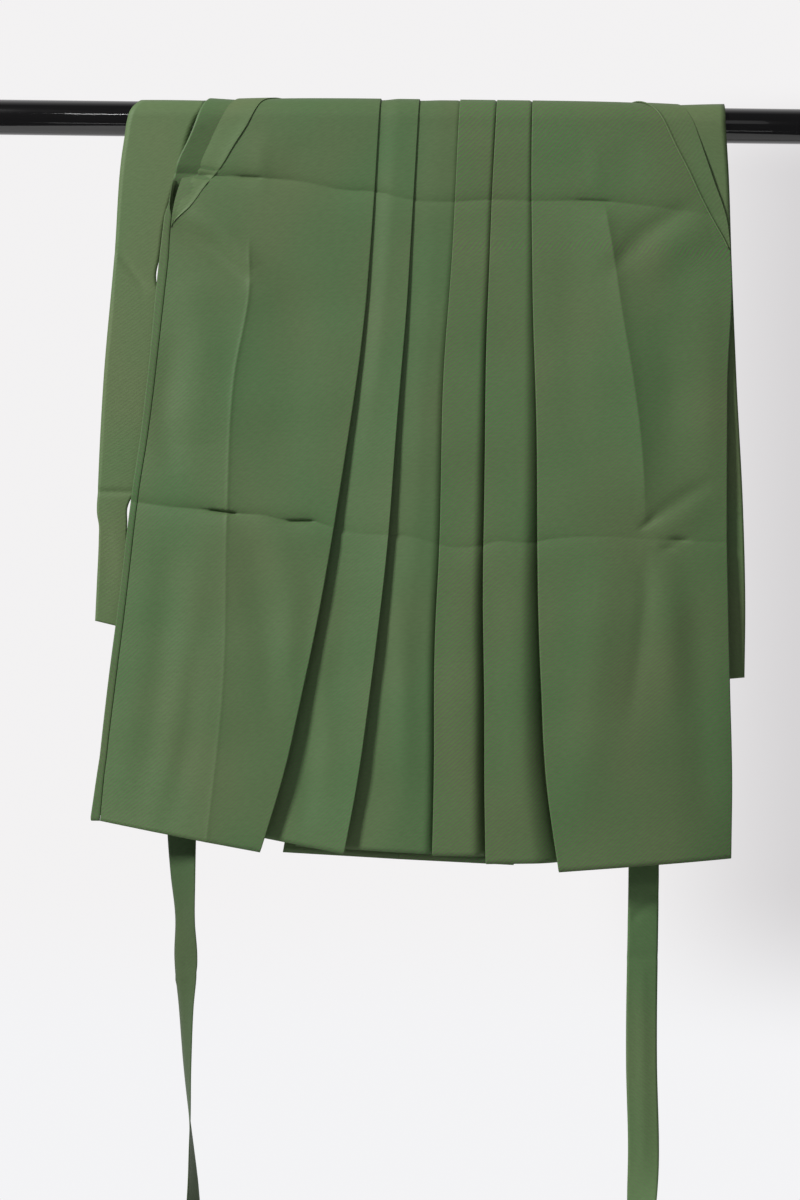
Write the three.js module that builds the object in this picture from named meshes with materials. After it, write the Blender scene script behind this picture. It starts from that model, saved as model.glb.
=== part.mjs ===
// Hakama trousers hung over a round rail, as they are hung to air or to be shown.
// The cloth is folded over the rail a hand's breadth below the waist: the legs hang in front,
// the waist, its stiff back board and the roots of the four ties hang behind.
// Every piece of cloth is a thin closed wall. A piece is described by its cross sections:
// x runs along the rail, r is how far the wall's middle lies from the rail's axis, and
// the drop is measured down the cloth, from 0 level with the rail's axis at the front.
// Millimetres, +Z up, front towards -Y, origin on the rail's axis.
import * as THREE from 'three';

// ---- Driving sizes ----------------------------------------------------------------------
const RAIL = { radius: 17.5, length: 880, sides: 48 };
const WALL = 1.0; // thickness of one layer of cloth
const GAP = 0.3; // air between two pieces that lie on each other
const PITCH = WALL + GAP; // from one layer to the next
const TURN_RADIUS = 23; // where the cloth's length over the rail is measured
const OVER_RAIL = Math.PI * TURN_RADIUS;
const TURN_STEPS = 9;

const WAIST_HALF = 155;
const WAIST_CENTRE = 56.5;
const BACK_WAIST_HALF = 140;
const BACK_SHIFT = 10; // the back has slipped this far to the left of the front
const HANG_SLOPE = 0.052; // the trousers hang a little askew: rise of the waist line per mm

const BAND = { height: 32, thickness: 2.6 };
const BOARD = { height: 90, baseHalf: 105, topHalf: 75, inner: 16.4, outer: 20.9 };
const FRONT_TIE_WIDTH = 31;
const BACK_TIE_ROOT = 75; // width where a back tie is sewn to the board's slanted side
const WRAP_RIGHT = 8; // how far the front goes round to the back at the right edge
const SEAM_OFFSET = 9; // centre front seam, hidden this far under the middle pleat
const CROTCH = 330; // drop of the top of the gusset

// Named heights down the cloth. Negative drops lie over the rail and behind it.
const STATION = {
  waist: -180,
  behind: -OVER_RAIL,
  crown: -OVER_RAIL / 2,
  rail: 0,
  brow: 40,
  pocket: 77,
  slitLeft: 105,
  slitRight: 125,
  thigh: 260,
  crease: 410,
  shin: 560,
  low: 650,
  hem: 735,
};
const STATION_NAMES = Object.keys(STATION);
// Drops of the rows that every panel has between the named ones.
const REAR_ROWS = [-148, -108];
const EXTRA_ROWS = { hip: 170, knee: 335, calf: 485 };

// The five front pleats, left to right: the visible fold edge at each height, how deep the
// fold tucks under, how far its top layer stands off the bottom one at the hem, and where
// its top layer, its bottom layer and its hidden inner fold end at the hem.
const PLEATS = [
  { facing: 1, waist: -22, rail: -33, slitLeft: -38, thigh: -52, crease: -73, shin: -99, low: -118,
    hem: -142, tuckTop: 24, tuckHem: 60, standHem: 9, overHem: 731, underHem: 719, innerHem: 706 },
  { facing: 1, waist: 15, rail: 6, slitLeft: 1, thigh: -8, crease: -19, shin: -33, low: -45,
    hem: -59, tuckTop: 24, tuckHem: 48, standHem: 7, overHem: 733, underHem: 729, innerHem: 726 },
  { facing: -1, waist: 57, rail: 47, slitLeft: 43, thigh: 35, crease: 32, shin: 29, low: 29,
    hem: 29, tuckTop: 24, tuckHem: 30, standHem: 4, overHem: 733.5, underHem: 732.5, innerHem: 733 },
  { facing: -1, waist: 94, rail: 84, slitLeft: 80, thigh: 77, crease: 76, shin: 78, low: 79,
    hem: 82, tuckTop: 24, tuckHem: 34, standHem: 5, overHem: 741, underHem: 733.5, innerHem: 736 },
  { facing: -1, waist: 130, rail: 120, slitLeft: 121, thigh: 126, crease: 130, shin: 134, low: 140,
    hem: 154, tuckTop: 24, tuckHem: 48, standHem: 8, overHem: 747.5, underHem: 739, innerHem: 741 },
];

// Side edges. Above the slit they are the open slit's edge, below it the side seam or fold.
const EDGES = {
  frontLeft: { waist: WAIST_CENTRE - WAIST_HALF, behind: -152, crown: -170, rail: -189, brow: -207,
    pocket: -225, slitLeft: -238.5, thigh: -255, crease: -270, shin: -288, low: -297, hem: -302 },
  frontRight: { waist: WAIST_CENTRE + WAIST_HALF, behind: 247, crown: 262, rail: 280.5, brow: 295,
    pocket: 308, slitLeft: 315.5, slitRight: 318.5, thigh: 317, crease: 318, shin: 322, low: 325,
    hem: 325 },
  backLeft: { waist: WAIST_CENTRE - BACK_SHIFT - BACK_WAIST_HALF, behind: -188, crown: -205,
    rail: -217, pocket: -239, slitLeft: -244.5, thigh: -262, crease: -278, shin: -297, low: -306,
    hem: -311 },
  backRight: { waist: WAIST_CENTRE - BACK_SHIFT + BACK_WAIST_HALF, behind: 235, crown: 252,
    rail: 268, pocket: 298, slitLeft: 309, slitRight: 310.2, thigh: 308.7, crease: 309.7,
    shin: 313.7, low: 316.7, hem: 316.7 },
  foldLeft: { waist: -34, behind: -103, crown: -130, rail: -160, brow: -184, pocket: -211,
    slitLeft: -234 },
  foldRight: { waist: 157, behind: 200, crown: 222, rail: 252, brow: 270, pocket: 289.5,
    slitLeft: 305, slitRight: 314.5 },
};
const SIDE_HEM = { left: 697, leftSeam: 703, right: 733.5, backRight: 731 };

// The two pleats of the back meet near its middle at the waist and spread towards the hem.
const BACK_PLEAT = {
  outer: { waist: 8, rail: 14, crease: 36, hem: 55 },
  inner: { waist: 45, rail: 52, crease: 84, hem: 115 },
};
const BACK_CENTRE = { waist: WAIST_CENTRE - BACK_SHIFT, rail: 37, slitLeft: 31, crease: 15, hem: -5 };
const BACK_HEM = { side: 716, inner: 718, outer: 722, centreLeft: 730, centre: 736, centreRight: 743,
  outerRight: 737, sideRight: 739 };

// Distance of each layer from the rail's axis as it falls away from the rail.
const FRONT_BASE = { waist: 22.2, rail: 22.2, pocket: 22.4, thigh: 25.5, crease: 30, shin: 35, hem: 40 };
const FRONT_SIDE = { waist: 20.9, rail: 20.9, slitLeft: 22.2, thigh: 25, crease: 28, shin: 30.5, hem: 33 };
const BACK_SIDE = { waist: 19.6, rail: 19.6, slitLeft: 19.8, thigh: 22, crease: 25, shin: 27, hem: 29.6 };
const BACK_BASE = { waist: 18.3, rail: 18.3, crease: 18.6, hem: 19 };
const BACK_STEP = { waist: PITCH, rail: PITCH, hem: 2.5 };
const TIE_RADIUS = RAIL.radius + GAP + WALL / 2;
const TIE_COVER = 80; // the back panel lies over the ties for this far in from its edge

// Small allowances at the folds.
const FOLD_INSET = 0.7; // the middle of a fold's wall lies this far inside its visible edge
const HEM_LAG = 3; // how much higher the hidden side of a fold ends at the hem
const FOLD_REST = 10; // a plain part runs this far past the tuck of the pleat it ends in
const SLIT_EDGE = [1.8, 1.2, 0.6, 0]; // points close together along an open slit's edge

// The four ties. Rows run down the front: outer and inner edge, or middle and twist.
const BACK_TIE_ROWS = {
  left: [
    { drop: 0, outer: -286, inner: -218 }, { drop: 35, outer: -289, inner: -230 },
    { drop: 137, outer: -295.5, inner: -252 }, { drop: 262, outer: -305, inner: -265.5 },
    { drop: 375, outer: -309.5, inner: -277 }, { drop: 422, outer: -308.5, inner: -279.5 },
    { drop: 505, dropInner: 513, outer: -310.5, inner: -281 },
  ],
  right: [
    { drop: 0, outer: 313, inner: 246 }, { drop: 35, outer: 316, inner: 258 },
    { drop: 137, outer: 321, inner: 277 }, { drop: 252, outer: 327, inner: 292 },
    { drop: 392, outer: 335.7, inner: 305 }, { drop: 483, outer: 338.8, inner: 308.5 },
    { drop: 554, dropInner: 557, outer: 338.8, inner: 309.5 },
  ],
};
const FRONT_TIE_ROWS = {
  left: [
    { drop: 0, middle: -197.5, twist: 0 }, { drop: 260, middle: -207, twist: 0 },
    { drop: 500, middle: -215, twist: 5 }, { drop: 700, middle: -222, twist: 15 },
    { drop: 756, middle: -220, twist: 34 }, { drop: 804, middle: -216.8, twist: 50 },
    { drop: 838, middle: -216, twist: 40 }, { drop: 890, middle: -215, twist: 60 },
    { drop: 945, middle: -213, twist: 73 }, { drop: 1011, middle: -208.5, twist: 88 },
    { drop: 1081, middle: -206, twist: 109 }, { drop: 1190, middle: -205, twist: 135 },
    { drop: 1290, middle: -205, twist: 155 }, { drop: 1400, middle: -206, twist: 165 },
  ],
  right: [
    { drop: 0, middle: 228.7, twist: 0 }, { drop: 260, middle: 233, twist: 0 },
    { drop: 500, middle: 236.5, twist: 0 }, { drop: 740, middle: 240.3, twist: 0 },
    { drop: 940, middle: 240.5, twist: 0 }, { drop: 1042, middle: 243.5, twist: 8 },
    { drop: 1090, middle: 242, twist: 30 }, { drop: 1180, middle: 241, twist: 45 },
    { drop: 1290, middle: 240, twist: 40 }, { drop: 1395, middle: 239, twist: 30 },
  ],
};

// ---- Cloth coordinates ------------------------------------------------------------------

// A sparse row of named heights, read at any drop.
function along(row, drop) {
  const names = STATION_NAMES.filter((name) => name in row);
  if (drop <= STATION[names[0]]) return row[names[0]];
  for (let k = 1; k < names.length; k += 1) {
    const low = STATION[names[k - 1]];
    const high = STATION[names[k]];
    if (drop <= high) {
      const share = (drop - low) / (high - low);
      return row[names[k - 1]] + share * (row[names[k]] - row[names[k - 1]]);
    }
  }
  return row[names[names.length - 1]];
}

function waistDrop(x) {
  return STATION.waist + HANG_SLOPE * (x - WAIST_CENTRE);
}

// The direction away from the rail: forwards in front, round over the top, then backwards.
function outward(drop) {
  const angle = THREE.MathUtils.clamp(-drop / TURN_RADIUS, 0, Math.PI);
  return new THREE.Vector3(0, -Math.cos(angle), Math.sin(angle));
}

function place(x, drop, r) {
  const point = outward(drop).multiplyScalar(r);
  point.x = x;
  if (drop > 0) point.z -= drop;
  if (drop < -OVER_RAIL) point.z += drop + OVER_RAIL;
  return point;
}

// ---- Walls from cross sections -----------------------------------------------------------

const SHARPEST_MITRE = 0.65; // cosine that keeps a mitred corner from running out too far

// Moves a section's line sideways by the given distance, keeping its corners mitred.
function offsetLine(points, distance) {
  const steps = points.slice(1).map((point, k) => {
    const step = new THREE.Vector2(point.x - points[k].x, point.r - points[k].r).normalize();
    return new THREE.Vector2(-step.y, step.x);
  });
  return points.map((point, k) => {
    const before = steps[Math.max(k - 1, 0)];
    const after = steps[Math.min(k, steps.length - 1)];
    const normal = before.clone().add(after).normalize();
    const reach = distance / Math.max(normal.dot(after), SHARPEST_MITRE);
    return { ...point, x: point.x + normal.x * reach, r: point.r + normal.y * reach };
  });
}

// Joins rings of the same number of points into one closed solid. A ring runs along the
// wall's outer side and back along its inner side, and both sides are split along the same
// diagonals, so a twisted wall keeps its thickness. The ends are closed straight across it.
function loft(rings) {
  const count = rings[0].length;
  const positions = rings.flat().flatMap((point) => [point.x, point.y, point.z]);
  const faces = [];
  const quad = (a, b, c, d) => faces.push(a, b, c, a, c, d);
  for (let row = 0; row < rings.length - 1; row += 1) {
    const here = row * count;
    const below = here + count;
    for (let k = 0; k < count; k += 1) {
      const next = (k + 1) % count;
      if (k < count / 2) quad(here + k, here + next, below + next, below + k);
      else quad(here + next, below + next, below + k, here + k);
    }
  }
  const last = (rings.length - 1) * count;
  for (let k = 0; k < count / 2 - 1; k += 1) {
    quad(count - 1 - k, count - 2 - k, k + 1, k);
    quad(last + k, last + k + 1, last + count - 2 - k, last + count - 1 - k);
  }
  const geometry = new THREE.BufferGeometry();
  geometry.setAttribute('position', new THREE.Float32BufferAttribute(positions, 3));
  geometry.setIndex(faces);
  if (signedVolume(geometry) < 0) geometry.setIndex(faces.reverse());
  geometry.computeVertexNormals();
  return geometry;
}

function signedVolume(geometry) {
  const position = geometry.attributes.position;
  const index = geometry.index.array;
  const [a, b, c] = [new THREE.Vector3(), new THREE.Vector3(), new THREE.Vector3()];
  let volume = 0;
  for (let k = 0; k < index.length; k += 3) {
    a.fromBufferAttribute(position, index[k]);
    b.fromBufferAttribute(position, index[k + 1]);
    c.fromBufferAttribute(position, index[k + 2]);
    volume += a.dot(b.cross(c)) / 6;
  }
  return volume;
}

// A wall of cloth through the section that is given for each drop. The first row follows the
// sloping waist line, and the last row follows each point's own hem.
function clothWall(drops, section) {
  return loft(drops.map((drop) => {
    const points = section(drop);
    const ring = [...offsetLine(points, WALL / 2), ...offsetLine(points, -WALL / 2).reverse()];
    return ring.map((point) => {
      let down = drop;
      if (drop === STATION.waist) down = waistDrop(point.x);
      if (drop === STATION.hem) down = point.hem;
      return place(point.x, down, point.r);
    });
  }));
}

// A flat band through rows of a left and a right edge point, and the way its face looks.
function bandWall(rows, thickness) {
  return loft(rows.map(({ left, right, face }) => {
    const lift = face.clone().multiplyScalar(thickness / 2);
    return [left.clone().add(lift), right.clone().add(lift), right.clone().sub(lift),
      left.clone().sub(lift)];
  }));
}

const TURN_DROPS = Array.from({ length: TURN_STEPS }, (_, k) => OVER_RAIL * (k / TURN_STEPS - 1));
const REAR_DROPS = [STATION.waist, ...REAR_ROWS];
const FRONT_DROPS = [STATION.rail, STATION.brow, STATION.pocket, STATION.slitLeft, STATION.slitRight,
  EXTRA_ROWS.hip, STATION.thigh, EXTRA_ROWS.knee, STATION.crease, EXTRA_ROWS.calf, STATION.shin,
  STATION.low, STATION.hem];
const PANEL_DROPS = [...REAR_DROPS, ...TURN_DROPS, ...FRONT_DROPS];

// ---- Sections of the panels --------------------------------------------------------------

// Three points that turn the cloth back on itself, with the outside of the turn at x.
function turn(x, facing, from, to) {
  const half = Math.abs(to.r - from.r) / 2;
  const tip = x - facing * FOLD_INSET;
  return [
    { x: tip - facing * half, ...from },
    { x: tip, r: (from.r + to.r) / 2, hem: (from.hem + to.hem) / 2 },
    { x: tip - facing * half, ...to },
  ];
}

// How deep a pleat tucks under, and how far apart its three layers lie, at a drop.
function pleatAt(pleat, drop) {
  const share = Math.max(0, (drop - STATION.slitLeft) / (STATION.hem - STATION.slitLeft));
  return {
    edge: along(pleat, drop),
    tuck: pleat.tuckTop + share * (pleat.tuckHem - pleat.tuckTop),
    step: PITCH + share * (pleat.standHem / 2 - PITCH),
  };
}

// The plain outer part of a front leg, from its side edge to where the first pleat tucks.
function plainPart(side, drop) {
  const isLeft = side === 'left';
  const pleat = isLeft ? PLEATS[0] : PLEATS[4];
  const { edge, tuck, step } = pleatAt(pleat, drop);
  const start = along(isLeft ? EDGES.frontLeft : EDGES.frontRight, drop);
  const end = edge - pleat.facing * (tuck + FOLD_REST);
  const sideHem = isLeft ? SIDE_HEM.leftSeam : SIDE_HEM.right;
  const from = { x: start, r: along(FRONT_SIDE, drop), hem: sideHem };
  const to = {
    x: end,
    r: along(FRONT_BASE, drop) + 2 * step,
    hem: THREE.MathUtils.lerp(sideHem, pleat.overHem, 0.55),
  };
  const middle = {
    x: (start + end) / 2,
    r: THREE.MathUtils.lerp(from.r, to.r, 0.6), // fuller than a straight line
    hem: (from.hem + to.hem) / 2,
  };
  return [from, middle, to];
}

// The left front leg: plain part, two pleats that face right, and the strip to the seam.
function frontLeftSection(drop) {
  const base = along(FRONT_BASE, drop);
  const [outer, inner] = [pleatAt(PLEATS[0], drop), pleatAt(PLEATS[1], drop)];
  const [outerPleat, innerPleat] = PLEATS;
  const seam = along(PLEATS[2], drop) + SEAM_OFFSET - GAP / 2;
  return [
    ...plainPart('left', drop),
    ...turn(outer.edge, 1, { r: base + 2 * outer.step, hem: outerPleat.overHem },
      { r: base + outer.step, hem: outerPleat.overHem - HEM_LAG }),
    ...turn(outer.edge - outer.tuck, -1, { r: base + outer.step, hem: outerPleat.innerHem + 2 },
      { r: base, hem: outerPleat.innerHem }),
    { x: outer.edge + 1, r: base, hem: outerPleat.underHem },
    { x: inner.edge - inner.tuck - 2, r: base + 2 * inner.step, hem: outerPleat.underHem + 8 },
    ...turn(inner.edge, 1, { r: base + 2 * inner.step, hem: innerPleat.overHem },
      { r: base + inner.step, hem: innerPleat.overHem - HEM_LAG }),
    ...turn(inner.edge - inner.tuck, -1, { r: base + inner.step, hem: innerPleat.innerHem + 1 },
      { r: base, hem: innerPleat.innerHem }),
    { x: seam, r: base, hem: PLEATS[2].underHem },
  ];
}

// The right front leg: from the seam, three pleats that face left, then the plain part,
// which turns round the side to meet the back.
function frontRightSection(drop) {
  const base = along(FRONT_BASE, drop);
  const points = [{ x: along(PLEATS[2], drop) + SEAM_OFFSET + GAP / 2, r: base, hem: PLEATS[2].underHem }];
  PLEATS.slice(2).forEach((pleat, k) => {
    const { edge, tuck, step } = pleatAt(pleat, drop);
    if (k > 0) points.push({ x: edge - 1, r: base, hem: pleat.underHem });
    points.push(...turn(edge + tuck, 1, { r: base, hem: pleat.innerHem },
      { r: base + step, hem: pleat.innerHem + 1 }));
    points.push(...turn(edge, -1, { r: base + step, hem: pleat.overHem - 2 },
      { r: base + 2 * step, hem: pleat.overHem }));
    if (k < 2) points.push({ x: edge + tuck + 2, r: base + 2 * step, hem: pleat.overHem - 1 });
  });
  points.push(...plainPart('right', drop).slice(1).reverse());
  return [...points, ...rightSideWrap(drop)];
}

function rightSideWrap(drop) {
  const fold = along(EDGES.frontRight, drop);
  const front = { r: along(FRONT_SIDE, drop), hem: SIDE_HEM.right };
  if (drop < STATION.slitRight) {
    return SLIT_EDGE.map((inset) => ({ x: fold - inset, ...front }));
  }
  const back = { r: along(BACK_SIDE, drop), hem: SIDE_HEM.backRight };
  return [...turn(fold, 1, front, back), { x: fold - WRAP_RIGHT, ...back }];
}

function leftSideWrap(drop) {
  const fold = along(EDGES.backLeft, drop);
  const back = { r: along(BACK_SIDE, drop), hem: SIDE_HEM.left };
  if (drop < STATION.slitLeft) {
    return SLIT_EDGE.toReversed().map((inset) => ({ x: fold + inset, ...back }));
  }
  const front = { r: along(FRONT_SIDE, drop), hem: SIDE_HEM.left };
  const seam = { x: along(EDGES.frontLeft, drop) - GAP, r: front.r, hem: SIDE_HEM.leftSeam };
  return [seam, ...turn(fold, -1, front, back)];
}

// Half of the back, from its side to the centre back seam: side part, the pleat that folds
// towards the middle, and the centre part that the other half continues.
function backSection(side, drop) {
  const facing = side === 'left' ? 1 : -1;
  const centre = along(BACK_CENTRE, drop);
  const base = along(BACK_BASE, drop);
  const step = along(BACK_STEP, drop);
  const isLeft = side === 'left';
  const edge = isLeft ? EDGES.backLeft : EDGES.backRight;
  const sideHem = isLeft ? BACK_HEM.side : BACK_HEM.sideRight;
  const outerHem = isLeft ? BACK_HEM.outer : BACK_HEM.outerRight;
  const innerHem = isLeft ? BACK_HEM.centreLeft : BACK_HEM.centreRight;
  const outerFold = centre - facing * along(BACK_PLEAT.outer, drop);
  const innerFold = centre - facing * along(BACK_PLEAT.inner, drop);
  const start = isLeft
    ? leftSideWrap(drop)
    : [{ x: along(edge, drop) - GAP, r: along(BACK_SIDE, drop), hem: SIDE_HEM.backRight }];
  return [
    ...start,
    { x: along(edge, drop) + facing * TIE_COVER, r: along(BACK_SIDE, drop) - 0.1, hem: sideHem },
    { x: innerFold - facing * 6, r: base, hem: isLeft ? BACK_HEM.inner : outerHem },
    ...turn(outerFold, facing, { r: base, hem: outerHem }, { r: base + step, hem: outerHem + 2 }),
    ...turn(innerFold, -facing, { r: base + step, hem: innerHem - 1 }, { r: base + 2 * step, hem: innerHem }),
    { x: centre - facing * (GAP / 2), r: base + 2 * step, hem: BACK_HEM.centre },
  ];
}

// The leaf-shaped fold that lies on the front along each side slit.
function sideFoldSection(side, drop) {
  const isLeft = side === 'left';
  const facing = isLeft ? 1 : -1;
  const frontEdge = along(isLeft ? EDGES.frontLeft : EDGES.frontRight, drop);
  const outerEdge = frontEdge - facing * FOLD_INSET;
  const innerEdge = along(isLeft ? EDGES.foldLeft : EDGES.foldRight, drop);
  const under = plainPart(side, drop);
  const width = Math.abs(innerEdge - outerEdge);
  const bends = under.slice(1).map((point, k) => {
    const reach = facing * (point.x - outerEdge);
    return outerEdge + facing * THREE.MathUtils.clamp(reach, k + 1, width - 2 + k);
  });
  return [outerEdge, ...bends, innerEdge].map((x) => ({ x, r: radiusOn(under, x, facing) + PITCH }));
}

function radiusOn(points, x, facing) {
  for (let k = 1; k < points.length; k += 1) {
    if (facing * (points[k].x - x) >= 0) {
      const share = (x - points[k - 1].x) / (points[k].x - points[k - 1].x);
      return points[k - 1].r + Math.max(0, share) * (points[k].r - points[k - 1].r);
    }
  }
  return points[points.length - 1].r;
}

// ---- Waistband, board and gusset ---------------------------------------------------------

// The folded strip that binds the front's top edge, hanging just below that edge here.
function frontBand() {
  const ends = [WAIST_CENTRE - WAIST_HALF, WAIST_CENTRE + WAIST_HALF];
  const stops = [
    { x: ends[0], r: 21.9 }, { x: -45, r: 23.5 }, { x: WAIST_CENTRE, r: 23.7 },
    { x: 158, r: 23.5 }, { x: ends[1], r: 21.9 },
  ];
  return bandWall(stops.map(({ x, r }) => ({
    left: bandPoint(x, 0, r),
    right: bandPoint(x, BAND.height, r),
    face: new THREE.Vector3(0, 1, 0),
  })), BAND.thickness);
}

// A point behind the rail, the given distance below the waist line.
function bandPoint(x, below, r) {
  return place(x, waistDrop(x) - GAP - below, r);
}

// The stiff board at the small of the back, wide where the back is sewn to it.
function backBoard() {
  const centre = WAIST_CENTRE - BACK_SHIFT;
  const thickness = BOARD.outer - BOARD.inner;
  const middle = (BOARD.outer + BOARD.inner) / 2;
  const rows = [[0, BOARD.baseHalf], [BOARD.height, BOARD.topHalf]];
  return bandWall(rows.map(([below, half]) => ({
    left: bandPoint(centre - half, below, middle),
    right: bandPoint(centre + half, below, middle),
    face: new THREE.Vector3(0, 1, 0),
  })), thickness);
}

// The gusset between the legs: up the inside of one leg, over the crotch, down the other.
// Its spread is how far each side hangs from the middle.
function gusset() {
  const path = [
    { drop: 727, spread: 15 }, { drop: STATION.shin, spread: 11 }, { drop: STATION.crease, spread: 7 },
    { drop: CROTCH + 8, spread: 3.5 }, { drop: CROTCH, spread: 0 },
  ];
  const clear = WALL / 2 + GAP;
  const rowOf = ({ drop, spread }, leg) => {
    const front = along(PLEATS[2], drop) + SEAM_OFFSET;
    const back = along(BACK_CENTRE, drop);
    const backR = along(BACK_BASE, drop) + 2 * along(BACK_STEP, drop) + clear;
    const frontR = along(FRONT_BASE, drop) - clear;
    return {
      left: place(THREE.MathUtils.lerp(back, front, 0.4) + leg * spread, drop, backR),
      right: place(THREE.MathUtils.lerp(back, front, 0.6) + leg * spread, drop, frontR),
      face: spread === 0 ? new THREE.Vector3(0, 0, -1) : new THREE.Vector3(-leg, 0, 0),
    };
  };
  const down = path.map((stop) => rowOf(stop, -1));
  const up = path.slice(0, -1).reverse().map((stop) => rowOf(stop, 1));
  return bandWall([...down, ...up], WALL);
}

// ---- Ties --------------------------------------------------------------------------------

// A tie leaves its root sideways behind the rail, folds over at a corner, goes up and over
// the rail under the trousers and hangs down the front. Rows run from root to free end.
function tieRows({ side, root, corner, hang }) {
  const leg = side === 'left' ? -1 : 1;
  const back = new THREE.Vector3(0, 1, 0);
  const cornerEdges = {
    left: new THREE.Vector3(corner.far, corner.r, root.top),
    right: new THREE.Vector3(corner.near, corner.r, root.bottom),
  };
  const tipAway = new THREE.Vector3(leg, 0, -1).normalize();
  const halfTurn = (corner.r - TIE_RADIUS) / 2;
  const shift = (edges, away, r) => ({
    left: edges.left.clone().addScaledVector(tipAway, away).setY(r),
    right: edges.right.clone().addScaledVector(tipAway, away).setY(r),
  });
  const rows = [
    { left: new THREE.Vector3(root.topX, root.r, root.top),
      right: new THREE.Vector3(root.bottomX, root.r, root.bottom), face: back },
    { ...shift(cornerEdges, -1, corner.r), face: back },
    { ...shift(cornerEdges, Math.abs(halfTurn) - GAP, corner.r - halfTurn),
      face: tipAway.clone().multiplyScalar(Math.sign(halfTurn)) },
    { ...shift(cornerEdges, -1, TIE_RADIUS), face: back.clone().negate() },
  ];
  const top = hang[0];
  for (const height of [0.45, 0]) {
    const z = root.top * height - (height === 0 ? 0 : 4);
    rows.push(levelRow(corner.far + (top.outer - corner.far) * (1 - height),
      corner.near + (top.inner - corner.near) * (1 - height), z - OVER_RAIL, 0));
  }
  TURN_DROPS.slice(1).forEach((drop) => rows.push(levelRow(top.outer, top.inner, drop, 0)));
  hang.forEach((row) => rows.push(levelRow(row.outer, row.inner, row.drop, row.twist ?? 0, row.dropInner)));
  return rows;
}

// One row of a tie: its two edges at a drop, turned about their middle by the twist.
function levelRow(outer, inner, drop, twist, dropInner = drop) {
  const middle = (outer + inner) / 2;
  const half = (outer - inner) / 2;
  const angle = THREE.MathUtils.degToRad(twist);
  const away = outward(drop);
  const at = (reach, down) => {
    const point = place(middle + reach * Math.cos(angle), down, TIE_RADIUS);
    return point.addScaledVector(away, reach * Math.sin(angle));
  };
  const face = away.clone().negate().multiplyScalar(Math.cos(angle));
  face.x += Math.sin(angle);
  return { left: at(half, drop), right: at(-half, dropInner), face: face.normalize() };
}

function waistLevel(x, below) {
  return bandPoint(x, below, 0).z;
}

function frontTie(side) {
  const leg = side === 'left' ? -1 : 1;
  const rootX = WAIST_CENTRE + leg * (WAIST_HALF + GAP);
  const hang = FRONT_TIE_ROWS[side].map(({ drop, middle, twist }) => ({
    drop, twist, outer: middle + (leg * FRONT_TIE_WIDTH) / 2, inner: middle - (leg * FRONT_TIE_WIDTH) / 2,
  }));
  const top = waistLevel(rootX, 0);
  const root = { topX: rootX, bottomX: rootX, top, bottom: top - FRONT_TIE_WIDTH, r: 21.9 };
  const near = hang[0].inner + leg * 1;
  const corner = { near, far: near + leg * FRONT_TIE_WIDTH, r: TIE_RADIUS + PITCH + 0.4 };
  return bandWall(tieRows({ side, root, corner, hang }), WALL);
}

function backTie(side) {
  const leg = side === 'left' ? -1 : 1;
  const centre = WAIST_CENTRE - BACK_SHIFT;
  const width = BACK_TIE_ROOT;
  const taper = (BOARD.baseHalf - BOARD.topHalf) / BOARD.height;
  const topX = centre + leg * (BOARD.baseHalf + 3 * GAP);
  const top = waistLevel(topX, 0);
  const hang = BACK_TIE_ROWS[side];
  const root = {
    topX, bottomX: topX - leg * taper * width, top, bottom: top - width, r: TIE_RADIUS - PITCH - 0.1,
  };
  const corner = { near: hang[0].inner, far: hang[0].outer, r: root.r };
  return bandWall(tieRows({ side, root, corner, hang }), WALL);
}

// ---- Rail --------------------------------------------------------------------------------

function rail() {
  const geometry = new THREE.CylinderGeometry(RAIL.radius, RAIL.radius, RAIL.length, RAIL.sides);
  geometry.rotateZ(Math.PI / 2);
  return geometry;
}

// ---- Assembly ----------------------------------------------------------------------------
const cloth = new THREE.MeshStandardMaterial({ color: 0x5a7048, roughness: 0.6, metalness: 0, name: 'cloth' });
const gloss = new THREE.MeshStandardMaterial({ color: 0x0b0b0c, roughness: 0.12, metalness: 0, name: 'rail' });

const foldDrops = (end) => PANEL_DROPS.filter((drop) => drop <= end);
const pieces = {
  rail: [rail(), gloss],
  front_panel_left: [clothWall(PANEL_DROPS, frontLeftSection), cloth],
  front_panel_right: [clothWall(PANEL_DROPS, frontRightSection), cloth],
  side_fold_left: [clothWall(foldDrops(STATION.slitLeft), (drop) => sideFoldSection('left', drop)), cloth],
  side_fold_right: [clothWall(foldDrops(STATION.slitRight), (drop) => sideFoldSection('right', drop)), cloth],
  back_panel_left: [clothWall(PANEL_DROPS, (drop) => backSection('left', drop)), cloth],
  back_panel_right: [clothWall(PANEL_DROPS, (drop) => backSection('right', drop)), cloth],
  gusset: [gusset(), cloth],
  front_waistband: [frontBand(), cloth],
  back_board: [backBoard(), cloth],
  front_tie_left: [frontTie('left'), cloth],
  front_tie_right: [frontTie('right'), cloth],
  back_tie_left: [backTie('left'), cloth],
  back_tie_right: [backTie('right'), cloth],
};

const hakama = new THREE.Group();
for (const [name, [geometry, material]] of Object.entries(pieces)) {
  const mesh = new THREE.Mesh(geometry, material);
  mesh.name = name;
  hakama.add(mesh);
}

export default hakama;
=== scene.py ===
import math

import bmesh
import bpy
import numpy as np
from mathutils import Matrix, Vector


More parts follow.
